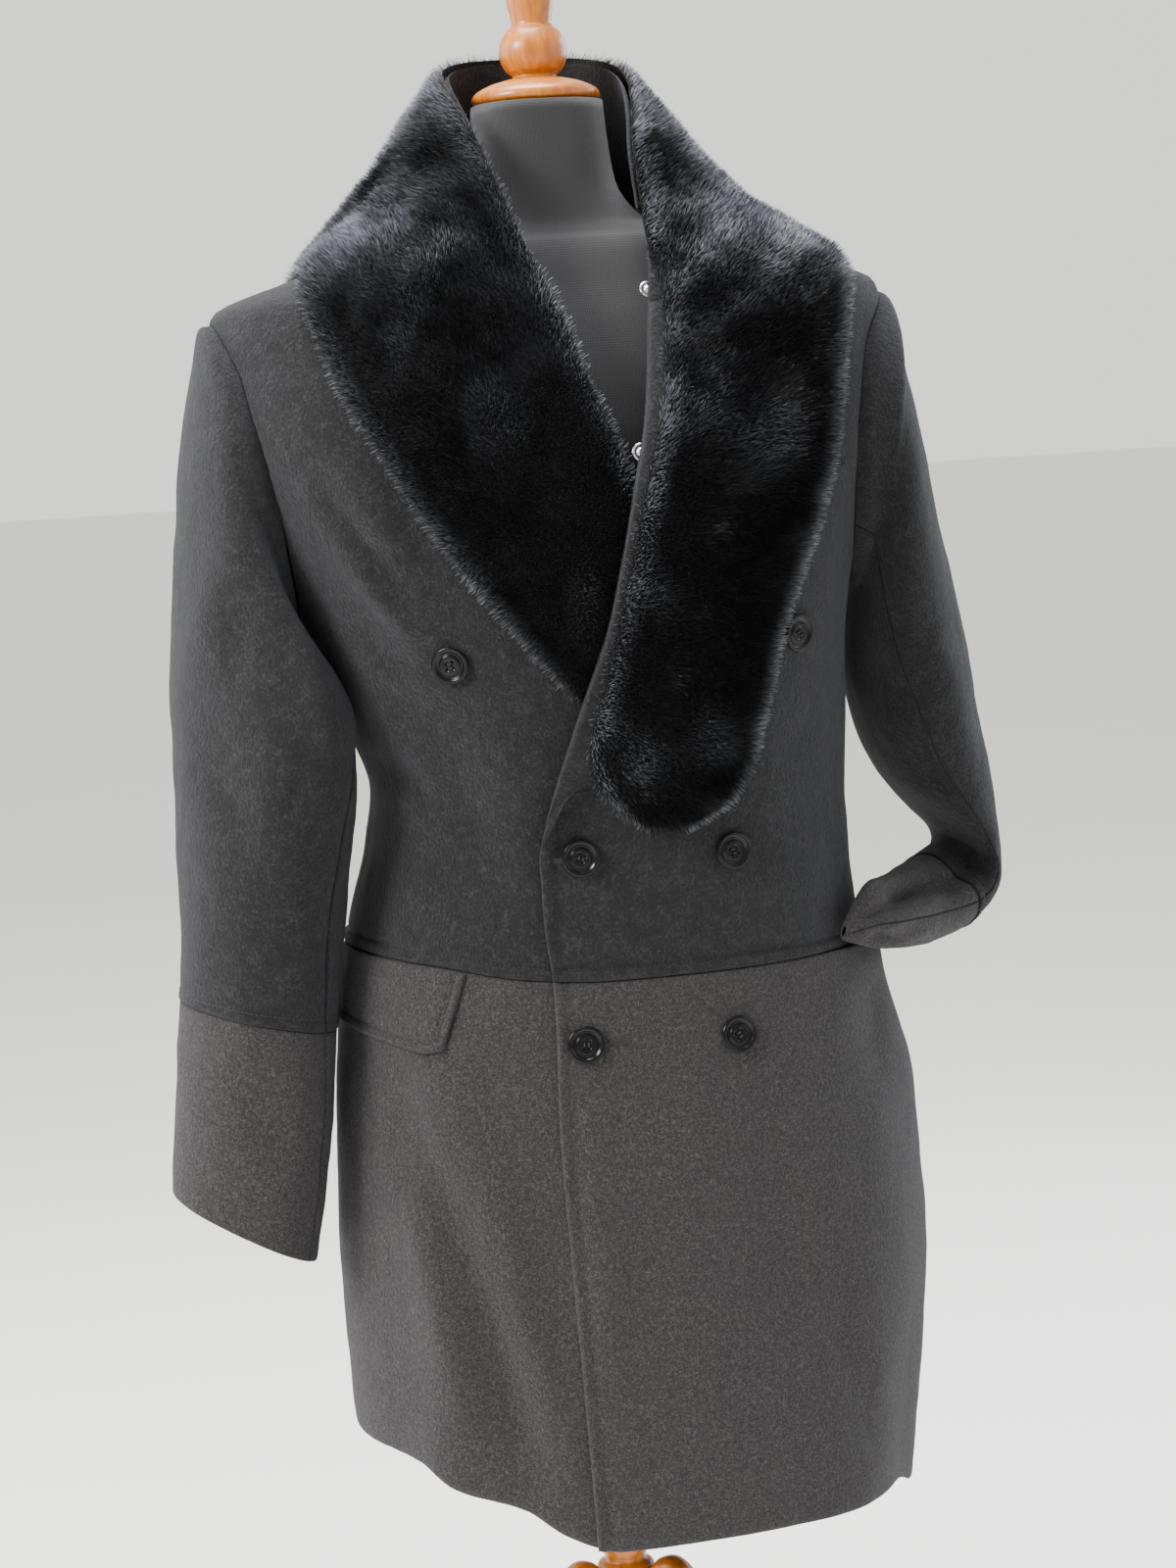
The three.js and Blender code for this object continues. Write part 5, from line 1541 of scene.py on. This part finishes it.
        def layer(lift: float) -> Array:
            """Return one face of the stand."""
            stations = []
            for (x, y, z, *_), turn in order:
                foot = self.coat.point(np.array(float(turn)), np.array(NECKLINE_Z + 0.9), lift)
                inward = -unit(np.array([x, y, 0.0]))
                top = np.array([x, y, z - 4.0]) + inward * (2.2 - lift)
                line = np.array([foot, mix(foot, top, 0.5) + inward * 4, top])
                stations.append(loft(line[:, None, :], share)[:, 0])
            return loft(np.array(stations), along)

        under, over = layer(-WOOL_MM), layer(0.0)
        full = np.minimum(rounded(share, 120.0)[None, :], rounded(along, 420.0)[:, None])[..., None]
        made = cloth_wall("coat_collar_stand", under, mix(under, over, full),
                          self.finishes.black, self.finishes.black)
        hand_in(made, Slot.BLACK_WOOL, "collar_stand")
        self.stand_cut.declare(made)

    def build(self) -> None:
        """Build the stand and both halves."""
        self.tree = pile_tree()
        self.hair = hair_template()
        self.stand()
        for side in (Side.LEFT, Side.RIGHT):
            self.side_piece(side)
        drop(self.hair)


@dataclass
class Pockets:
    """Flap under the waist seam on the right, and the end of the chest welt on the left."""

    coat: CoatBody
    finishes: Finishes
    flap_lift: float = WOOL_MM + 1.0
    flap_cut: Cut = Cut(0.19, 0.062, 0.0108, "hung", ("front_right_lower",))
    welt_cut: Cut = Cut(0.036, 0.026, 0.0006, "laid", ("front_left_upper",))

    def flap_grid(self, share: Array, v: Array, extra: Array) -> Array:
        """Return points of the flap, from the side to the front and from the seam down."""
        turn = mix(-98.0, mix(-34.0, -39.0, v), share)
        low = mix(50.0, 62.0, share) - 5 * smooth(share, 0.9, 1)
        z = self.coat.waist(turn) - 1.0 - v * low
        inset = np.minimum((1 - v) * low, (1 - share) * 175)
        puff = (0.9 * (1 - smooth(inset, 4.0, 6.0)) - 1.6 * bell(inset, 7.0, 1.4)
                + 0.5 * ripple(self.coat.base(turn, z), 40, 41))
        lift = self.flap_lift + puff + self.coat.relief(None, turn, z) * 0.6
        return self.coat.point(turn, z, lift + extra)

    def build(self) -> None:
        """Build the flap and the welt."""
        share, v = edged(70, 175.0)[None, :], edged(30, 56.0)[:, None]
        full = np.minimum(rounded(share, 175.0), rounded(v, 56.0))
        made = cloth_wall("coat_pocket_flap", self.flap_grid(share, v, 0.0),
                          self.flap_grid(share, v, WOOL_MM * full), self.finishes.grey, self.finishes.lining)
        hand_in(made, Slot.GREY_WOOL, "pocket_flap")
        self.flap_cut.declare(made)
        share, v = edged(20, 18.0, 1.2)[None, :], edged(26, 34.0, 1.2)[:, None]
        x = mix(mix(165.0, 174.0, v), mix(184.0, 189.0, v), share)
        z = mix(1238.0, 1272.0, v) + 3 * share
        turn = self.coat.turn_at(x, z)
        full = np.minimum(rounded(share, 18.0, 1.2), rounded(v, 34.0, 1.2))
        made = cloth_wall("coat_chest_welt", self.coat.cloth(Side.LEFT, turn, z, WOOL_MM + 0.5),
                          self.coat.cloth(Side.LEFT, turn, z, WOOL_MM + 0.5 + 1.8 * full),
                          self.finishes.black, self.finishes.lining)
        hand_in(made, Slot.BLACK_WOOL, "chest_welt")
        self.welt_cut.declare(made)


@dataclass(frozen=True)
class Place:
    """Where a fastening sits on a front: its node, across, height, side and gap to the cloth."""

    node: str
    x: float
    z: float
    side: Side
    gap: float = 0.2
    spin: float = 0.0


@dataclass
class Fastenings:
    """Six buttons with their thread, and two snaps."""

    coat: CoatBody
    finishes: Finishes
    radius: float = 13.5
    depth: float = 3.6
    hole_radius: float = 1.15
    hole_offset: float = 2.3
    buttons: tuple = (
        Place("button_right_chest", -107, 1153, Side.RIGHT, 0.9, 10),
        Place("button_left_chest", 140, 1157, Side.LEFT, 0.9, 40),
        Place("button_upper_inner", -26, 1010, Side.LEFT, 0.8, 65),
        Place("button_upper_outer", 83, 1005, Side.LEFT, 0.8, 20),
        Place("button_lower_inner", -32, 877, Side.LEFT, 0.5, 85),
        Place("button_lower_outer", 78, 873, Side.LEFT, 0.5, 30),
    )
    snaps: tuple = (
        Place("snap_upper", 54, 1405, Side.LEFT), Place("snap_lower", 31, 1290, Side.LEFT),
    )
    snap_radius: float = 6.5

    def seat(self, piece: bpy.types.Object, place: Place, lift: float) -> None:
        """Put a piece made about the origin onto the cloth, its axis along the cloth's normal."""
        turn = self.coat.turn_at(place.x, place.z)
        point = self.coat.cloth(place.side, turn, np.array(place.z), lift) + CENTRING_MM
        normal = Vector(self.coat.normal(turn, np.array(place.z)).tolist())
        facing = normal.to_track_quat("Z", "Y").to_matrix()
        spin = math.radians(place.spin)
        for vertex in piece.data.vertices:
            local = vertex.co - Vector((CENTRING_MM * 0.001).tolist())
            x = local.x * math.cos(spin) - local.y * math.sin(spin)
            y = local.x * math.sin(spin) + local.y * math.cos(spin)
            vertex.co = facing @ Vector((x, y, local.z)) + Vector((point * 0.001).tolist())

    def button(self, place: Place) -> None:
        """Build one button with a rim, a sunk ring, a raised middle and four holes."""
        r, d = self.radius, self.depth
        outline = [
            (r * 0.62, 0.0), (r * 0.8, 0.12), (r * 0.93, d * 0.24), (r * 0.985, d * 0.48),
            (r, d * 0.64), (r * 0.985, d * 0.84), (r * 0.94, d * 0.97), (r * 0.88, d),
            (r * 0.81, d * 0.95), (r * 0.75, d * 0.8), (r * 0.7, d * 0.56), (r * 0.66, d * 0.5),
            (r * 0.6, d * 0.5), (r * 0.565, d * 0.58), (r * 0.54, d * 0.76), (r * 0.5, d * 0.83),
            (r * 0.42, d * 0.84), (r * 0.2, d * 0.78), (0.4, d * 0.76),
        ]
        piece = lathe(f"coat_{place.node}", outline, self.finishes.button, 72)
        for k in range(4):
            turn = math.radians(45 + 90 * k)
            drill = lathe("drill", [(self.hole_radius, -1.0), (self.hole_radius, d + 1)],
                          self.finishes.button, 20)
            for vertex in drill.data.vertices:
                vertex.co.x += self.hole_offset * math.cos(turn) * 0.001
                vertex.co.y += self.hole_offset * math.sin(turn) * 0.001
            self.cut(piece, drill)
        self.seat(piece, place, WOOL_MM + place.gap)
        hand_in(piece, Slot.BUTTON, place.node)
        self.cross_thread(place)

    def cut(self, piece: bpy.types.Object, tool: bpy.types.Object) -> None:
        """Take a tool's shape out of a piece."""
        cutter = piece.modifiers.new("hole", "BOOLEAN")
        cutter.operation, cutter.object, cutter.solver = "DIFFERENCE", tool, "EXACT"
        ready = piece.evaluated_get(bpy.context.evaluated_depsgraph_get())
        mesh = bpy.data.meshes.new_from_object(ready)
        piece.modifiers.clear()
        piece.data = mesh
        drop(tool)

    def cross_thread(self, place: Place) -> None:
        """Build the two bars of thread through a button's holes."""
        o, top = self.hole_offset / math.sqrt(2), self.depth * 0.76
        points, faces = [], []
        for side in (-1, 1):
            line = curve_through([(-o, side * o, 0.4), (-o, side * o, top - 0.2),
                                  (-o * 0.5, side * o * 0.96, top + 0.65), (0, side * o * 0.94, top + 0.75),
                                  (o * 0.5, side * o * 0.96, top + 0.65), (o, side * o, top - 0.2),
                                  (o, side * o, 0.4)], 26)
            start = len(points)
            for j, (x, y, z) in enumerate(line):
                for k in range(8):
                    turn = k * math.pi / 4 + j * 0.5
                    points.append((x + 0.5 * math.sin(turn) * (1 if abs(x) > o * 0.9 else 0.25),
                                   y + 0.62 * math.cos(turn), z + 0.45 * math.sin(turn)))
            faces += tube_faces(len(line), 8, start) + cap_faces(len(line), 8, start)
        piece = add_object(f"thread_{place.node}", np.array(points), faces, [self.finishes.black_thread])
        self.seat(piece, place, WOOL_MM + place.gap)
        hand_in(piece, Slot.BUTTON)

    def snap(self, place: Place) -> None:
        """Build one snap: a pressed ring round a sprung middle."""
        r = self.snap_radius
        outline = [(r * 0.7, -2.9), (r * 0.96, -2.7), (r, -2.2), (r * 0.96, -1.75), (r * 0.82, -1.6),
                   (r * 0.7, -1.75), (r * 0.62, -2.1), (r * 0.5, -2.1), (r * 0.42, -1.8),
                   (r * 0.34, -1.25), (r * 0.2, -1.0), (0.3, -0.95)]
        piece = lathe(f"coat_{place.node}", outline, self.finishes.snap, 48)
        turn = self.coat.turn_at(place.x, place.z)
        relief = float(self.coat.relief(place.side, turn, np.array(float(place.z))))
        self.seat(piece, place, -relief)
        hand_in(piece, Slot.SNAP, place.node)

    def build(self) -> None:
        """Build the buttons and snaps."""
        for place in self.buttons:
            self.button(place)
        for place in self.snaps:
            self.snap(place)


@dataclass
class Stitching:
    """Topstitching along edges and seams, and the worked buttonholes."""

    coat: CoatBody
    finishes: Finishes
    sleeves: Sleeves
    pockets: Pockets
    pitch: float = 3.4
    stitch_length: float = 2.7
    holes: tuple = ((-16.0, 877.0, 15.0), (-37.0, 1009.0, -11.0))

    def front_line(self, low: float, high: float) -> tuple[Array, Array]:
        """Return the stitch line down the left front's edge between two heights."""
        z = np.linspace(low, high, max(int((high - low) / 5), 2))
        return self.coat.outside(Side.LEFT, self.coat.edges[Side.LEFT](z) + STITCH_INSET_MM, z,
                                 -STITCH_SINK_MM)

    def waist_line(self, side: Optional[Side], start: float, end: float) -> tuple[Array, Array]:
        """Return the stitch line above the waist seam between two turns."""
        turn = np.linspace(start, end, 90)
        z = self.coat.waist(wrap_turn(turn)) + WAIST_STITCH_MM
        return self.coat.cloth(side, turn, z, WOOL_MM - STITCH_SINK_MM), self.coat.normal(turn, z)

    def flap_lines(self) -> list[tuple[Array, Array]]:
        """Return the stitch line round the flap's free edges."""
        share = np.concatenate([np.linspace(0.0, 0.955, 60), np.full(16, 0.957)])
        v = np.concatenate([np.full(60, 0.875), np.linspace(0.86, 0.0, 16)])
        points = self.pockets.flap_grid(share, v, WOOL_MM - 0.1)
        return [(points, self.coat.normal(mix(-98.0, -36.0, share), points[:, 2]))]

    def lay(self, name: str, lines: list, finish: bpy.types.Material, pitch: float, across: float,
            shape: bpy.types.Object, slot: Slot) -> None:
        """Lay stitches along lines as one piece."""
        piece = grow(seam_path(lines), name, self.tree, {
            "Template": shape, "Finish": finish, "Pitch": pitch * 0.001, "Across": across})
        hand_in(piece, slot)

    def buttonhole(self, x: float, z: float, reach: float) -> list[tuple[Array, Array]]:
        """Return the worked edge round a keyhole buttonhole that runs sideways."""
        t = np.linspace(0, 2 * math.pi, 40)
        wide = 1.0 + 0.9 * bell(np.cos(t), 1.0, 0.25)
        px = x + reach / 2 + reach / 2 * np.cos(t)
        pz = z + wide * np.sin(t)
        return [self.coat.outside(Side.LEFT, px, pz, 0.1)]

    def build(self) -> None:
        """Build all stitching."""
        self.tree = stitch_tree()
        shape = stitch_template(self.stitch_length)
        waist = float(self.coat.waist(0.0))
        edge = float(self.coat.turn_at(self.coat.edges[Side.LEFT](925.0), 925.0))
        under = float(self.coat.turn_at(self.coat.edges[Side.RIGHT](925.0), 925.0))
        black = [self.front_line(waist + 2, 1024.0), self.waist_line(Side.LEFT, edge + 1.0, 89.0),
                 self.waist_line(Side.RIGHT, -89.0, min(edge - 1.0, under)),
                 self.waist_line(None, 91.0, 269.0),
                 *self.sleeves.stitch_lines]
        grey = [self.front_line(516.0, waist - 2), *self.flap_lines()]
        self.lay("topstitching_black", black, self.finishes.black_thread, self.pitch, 0.0, shape,
                 Slot.BLACK_WOOL)
        self.lay("topstitching_grey", grey, self.finishes.grey_thread, self.pitch, 0.0, shape,
                 Slot.GREY_WOOL)
        wrap = stitch_template(2.6, 0.6, 0.5)
        for k, hole in enumerate(self.holes):
            self.lay(f"buttonhole_{k + 1}", self.buttonhole(*hole), self.finishes.black_thread,
                     0.62, 1.0, wrap, Slot.BLACK_WOOL)
        drop(shape)
        drop(wrap)


@dataclass
class DressForm:
    """Limbless form: jersey over padding on a turned stand with three legs."""

    coat: CoatBody
    finishes: Finishes
    torso: tuple = (
        (752, 118, 84, 88), (764, 140, 100, 104), (800, 152, 110, 116), (880, 150, 108, 114),
        (960, 138, 100, 104), (1020, 134, 98, 100), (1100, 146, 106, 106), (1200, 168, 120, 116),
        (1280, 182, 122, 120), (1340, 188, 110, 114), (1385, 188, 94, 102), (1412, 183, 82, 94),
        (1436, 163.4, 72, 84), (1446, 135.3, 66, 76), (1452, 110, 60, 68), (1462, 74, 55, 58),
        (1490, 54, 51, 52), (1520, 50, 49, 49), (1548, 48, 48, 48),
    )
    cap: tuple = (
        (44, 1548.3), (47, 1551), (46, 1556), (36, 1562), (22, 1566), (16, 1568), (21, 1573),
        (24.5, 1581), (24.5, 1591), (20, 1600), (15, 1605), (15, 1610), (17.5, 1624), (17, 1634),
        (11, 1642),
    )
    post: tuple = (
        (9, 318), (16, 323), (19, 334), (14, 346), (22, 350), (22, 436), (16, 442), (18, 450),
        (17, 700), (26, 744), (26, 751.7),
    )
    leg_top: tuple = (
        (0, 436), (8, 444), (20, 446), (32, 438), (40, 420), (60, 372), (96, 300), (140, 218),
        (186, 140), (226, 76), (250, 42), (270, 24), (285, 12), (285, 0),
    )
    leg_under: tuple = (
        (236, 0), (222, 16), (190, 66), (150, 130), (104, 206), (64, 276), (34, 330), (14, 354),
        (0, 358),
    )
    leg_turns: tuple = (200, 322, 80)
    leg_width: float = 26.0
    leg_start: float = 22.3
    leg_squareness: float = 0.55

    def torso_piece(self) -> None:
        """Build the jersey torso, with its knit running up it."""
        table = np.array(self.torso, float)
        heights = np.concatenate([np.linspace(a, b, 5)[:-1] for a, b in zip(table[:-1, 0], table[1:, 0])]
                                 + [table[-1:, 0]])
        rails = [Rail(self.torso, k) for k in (1, 2, 3)]
        turns = np.linspace(0, 360, 128, endpoint=False)
        rows = []
        for z in heights:
            side, front, back = (float(rail(z)) for rail in rails)
            s, c = np.sin(np.radians(turns)), np.cos(np.radians(turns))
            power = 2 / self.coat.squareness
            seam = 1 - 0.004 * np.exp(-(np.minimum(turns, 360 - turns) / 1.2) ** 2)
            rows.append(np.stack([side * np.sign(s) * np.abs(s) ** power * seam,
                                  np.where(c >= 0, -front, back) * np.abs(c) ** power * seam,
                                  np.full_like(turns, z)], axis=-1))
        grid = np.array(rows)
        n, m = grid.shape[:2]
        faces = tube_faces(n, m)
        points = np.concatenate([grid.reshape(-1, 3), [[0, 0, heights[0]], [0, 0, heights[-1]]]])
        faces += [(n * m, (i + 1) % m, i) for i in range(m)]
        faces += [(n * m + 1, (n - 1) * m + i, (n - 1) * m + (i + 1) % m) for i in range(m)]
        piece = add_object("form_torso_cover", points, faces, [self.finishes.jersey])
        layer = piece.data.uv_layers.new(name="knit")
        for corner in piece.data.loops:
            place = piece.data.vertices[corner.vertex_index].co - Vector((CENTRING_MM * 0.001).tolist())
            around = math.atan2(place.x, -place.y)
            layer.data[corner.index].uv = (around * 0.13, place.z)
        hand_in(piece, Slot.JERSEY, "form_torso")

    def turned(self, name: str, rows: tuple) -> None:
        """Build one turned piece with softened profile corners."""
        outline = [tuple(row) for row in curve_through(rows, len(rows) * 7)]
        piece = lathe(f"{name}_turned", outline, self.finishes.wood, 72)
        hand_in(piece, Slot.WOOD, name)

    def leg(self, name: str, turn: float) -> None:
        """Build one leg: its side view given a rounded section."""
        steps, around = 70, 20
        top = np.array(curve_through(self.leg_top, steps))
        under = np.array(curve_through(self.leg_under, steps))[::-1]
        c, s = math.cos(math.radians(turn)), math.sin(math.radians(turn))
        rings = []
        for (r1, z1), (r0, z0) in zip(top, under):
            ring = []
            for k in range(around):
                t = 2 * math.pi * k / around
                up = np.sign(math.sin(t)) * abs(math.sin(t)) ** self.leg_squareness
                wide = (np.sign(math.cos(t)) * abs(math.cos(t)) ** self.leg_squareness
                        * self.leg_width / 2)
                r = (r0 + r1) / 2 + (r1 - r0) / 2 * up + self.leg_start
                z = max((z0 + z1) / 2 + (z1 - z0) / 2 * up, 0.0)
                ring.append((r * c - wide * s, r * s + wide * c, z))
            rings.append(ring)
        points = np.array(rings).reshape(-1, 3)
        faces = tube_faces(steps, around) + cap_faces(steps, around)
        piece = add_object(f"{name}_shaped", points, faces, [self.finishes.wood])
        hand_in(piece, Slot.WOOD, name)

    def build(self) -> None:
        """Build the form and its stand."""
        self.torso_piece()
        self.turned("form_neck_cap", self.cap)
        self.turned("form_post", self.post)
        for k, turn in enumerate(self.leg_turns):
            self.leg(f"form_leg_{k + 1}", turn)


@dataclass
class Studio:
    """Pale floor, soft lights and the camera at the photograph's place."""

    distance: float = 2300.0
    eye_height: float = 1317.0
    yaw: float = 10.0
    pitch: float = -6.744
    pan: float = 0.188
    roll: float = -3.5
    focal_px: float = 3140.0
    height_px: float = 1600.0
    floor_half: float = 60.0

    def floor(self) -> None:
        """Lay the floor with a plain pale finish."""
        material, tree = start_material("pale_floor")
        place = add_node(tree, "ShaderNodeTexCoord").outputs["Object"]
        cloud = add_node(tree, "ShaderNodeTexNoise", inputs={
            "Vector": place, "Scale": 0.8, "Detail": 2.0})
        end_material(tree, {
            "Base Color": ramp(tree, cloud.outputs["Fac"], [(0.3, "#f1f1ec"), (0.7, "#f4f4f0")]),
            "Emission Color": linear("#f4f4f0"), "Emission Strength": 0.07,
            "Roughness": 0.9})
        h = self.floor_half
        mesh = bpy.data.meshes.new("floor")
        mesh.from_pydata([(-h, -h, 0), (h, -h, 0), (h, h, 0), (-h, h, 0)], [], [(0, 1, 2, 3)])
        mesh.materials.append(material)
        put_in("floor", mesh)

    def lamp(self, name: str, place: tuple, target: tuple, size: float, power: float, code: str) -> None:
        """Hang one square soft light that faces a target."""
        light = bpy.data.lights.new(name, "AREA")
        light.size, light.energy, light.color = size, power, linear(code)[:3]
        thing = put_in(name, light)
        thing.location = place
        thing.rotation_euler = (Vector(target) - Vector(place)).to_track_quat("-Z", "Y").to_euler()

    def lights(self) -> None:
        """Set the lamps and the sky."""
        middle = (0.0, 0.0, 1.1)
        self.lamp("window", (-2.9, -1.3, 2.9), middle, 1.3, 270.0, "#fffdf8")
        self.lamp("fill", (2.9, -1.6, 2.0), middle, 2.0, 26.0, "#f2f6ff")
        self.lamp("top", (-0.2, 0.1, 3.7), (0.0, 0.0, 1.3), 1.5, 210.0, "#fafaff")
        self.lamp("back_left", (-2.6, 1.6, 1.8), middle, 1.8, 40.0, "#f0f4ff")
        self.lamp("back_right", (2.6, 1.6, 2.0), middle, 1.8, 75.0, "#eaf0ff")
        world = bpy.data.worlds.new("studio")
        world.use_nodes = True
        tree = world.node_tree
        sky = tree.nodes["Background"]
        sky.inputs["Color"].default_value = linear("#e6e6e0")
        along = add_node(tree, "ShaderNodeTexCoord").outputs["Generated"]
        split = add_node(tree, "ShaderNodeSeparateXYZ", inputs={"Vector": along})
        level = add_node(tree, "ShaderNodeMapRange", inputs={
            "Value": split.outputs["Y"], "From Min": -1.0, "From Max": 1.0,
            "To Min": 1.15, "To Max": 1.7})
        tree.links.new(level.outputs["Result"], sky.inputs["Strength"])
        bpy.context.scene.world = world

    def camera(self) -> None:
        """Set the camera that the photograph was taken from."""
        yaw, roll = math.radians(self.yaw), math.radians(self.roll)
        ahead = Vector((math.sin(yaw), math.cos(yaw), 0.0))
        eye = -self.distance * ahead + Vector((0, 0, self.eye_height)) + Vector(CENTRING_MM.tolist())
        pan, pitch = math.radians(self.pan), math.radians(self.pitch)
        turned = Vector((math.sin(yaw + pan), math.cos(yaw + pan), 0.0))
        look = turned * math.cos(pitch) + Vector((0, 0, math.sin(pitch)))
        right = turned.cross(Vector((0, 0, 1))).normalized()
        upward = right.cross(look).normalized()
        side = right * math.cos(roll) + upward * math.sin(roll)
        top = look.cross(side) * -1
        data = bpy.data.cameras.new("camera")
        data.sensor_fit = "VERTICAL"
        data.angle = 2 * math.atan(self.height_px / 2 / self.focal_px)
        data.clip_end = 100
        thing = put_in("camera", data)
        axes = [side, top, -look]
        rows = [[a[k] for a in axes] + [eye[k] * 0.001] for k in range(3)]
        thing.matrix_world = Matrix([*rows, [0, 0, 0, 1]])
        bpy.context.scene.camera = thing

    def build(self) -> None:
        """Set up the whole studio."""
        self.camera()
        self.floor()
        self.lights()


def main() -> None:
    """Dress the whole part and report each piece."""
    logging.basicConfig(level=logging.INFO, format="%(message)s")
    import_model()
    Studio().build()
    finishes = build_finishes()
    coat = CoatBody()
    bodice = Bodice(coat, finishes)
    bodice.front(Side.LEFT)
    bodice.front(Side.RIGHT)
    bodice.behind()
    Skirt(coat, finishes).build()
    sleeves = Sleeves(coat, finishes)
    sleeves.build()
    Lapels(coat, finishes).build()
    pockets = Pockets(coat, finishes)
    pockets.build()
    PlushCollar(coat, finishes).build()
    Fastenings(coat, finishes).build()
    Stitching(coat, finishes, sleeves, pockets).build()
    DressForm(coat, finishes).build()


if __name__ == "__main__":
    main()
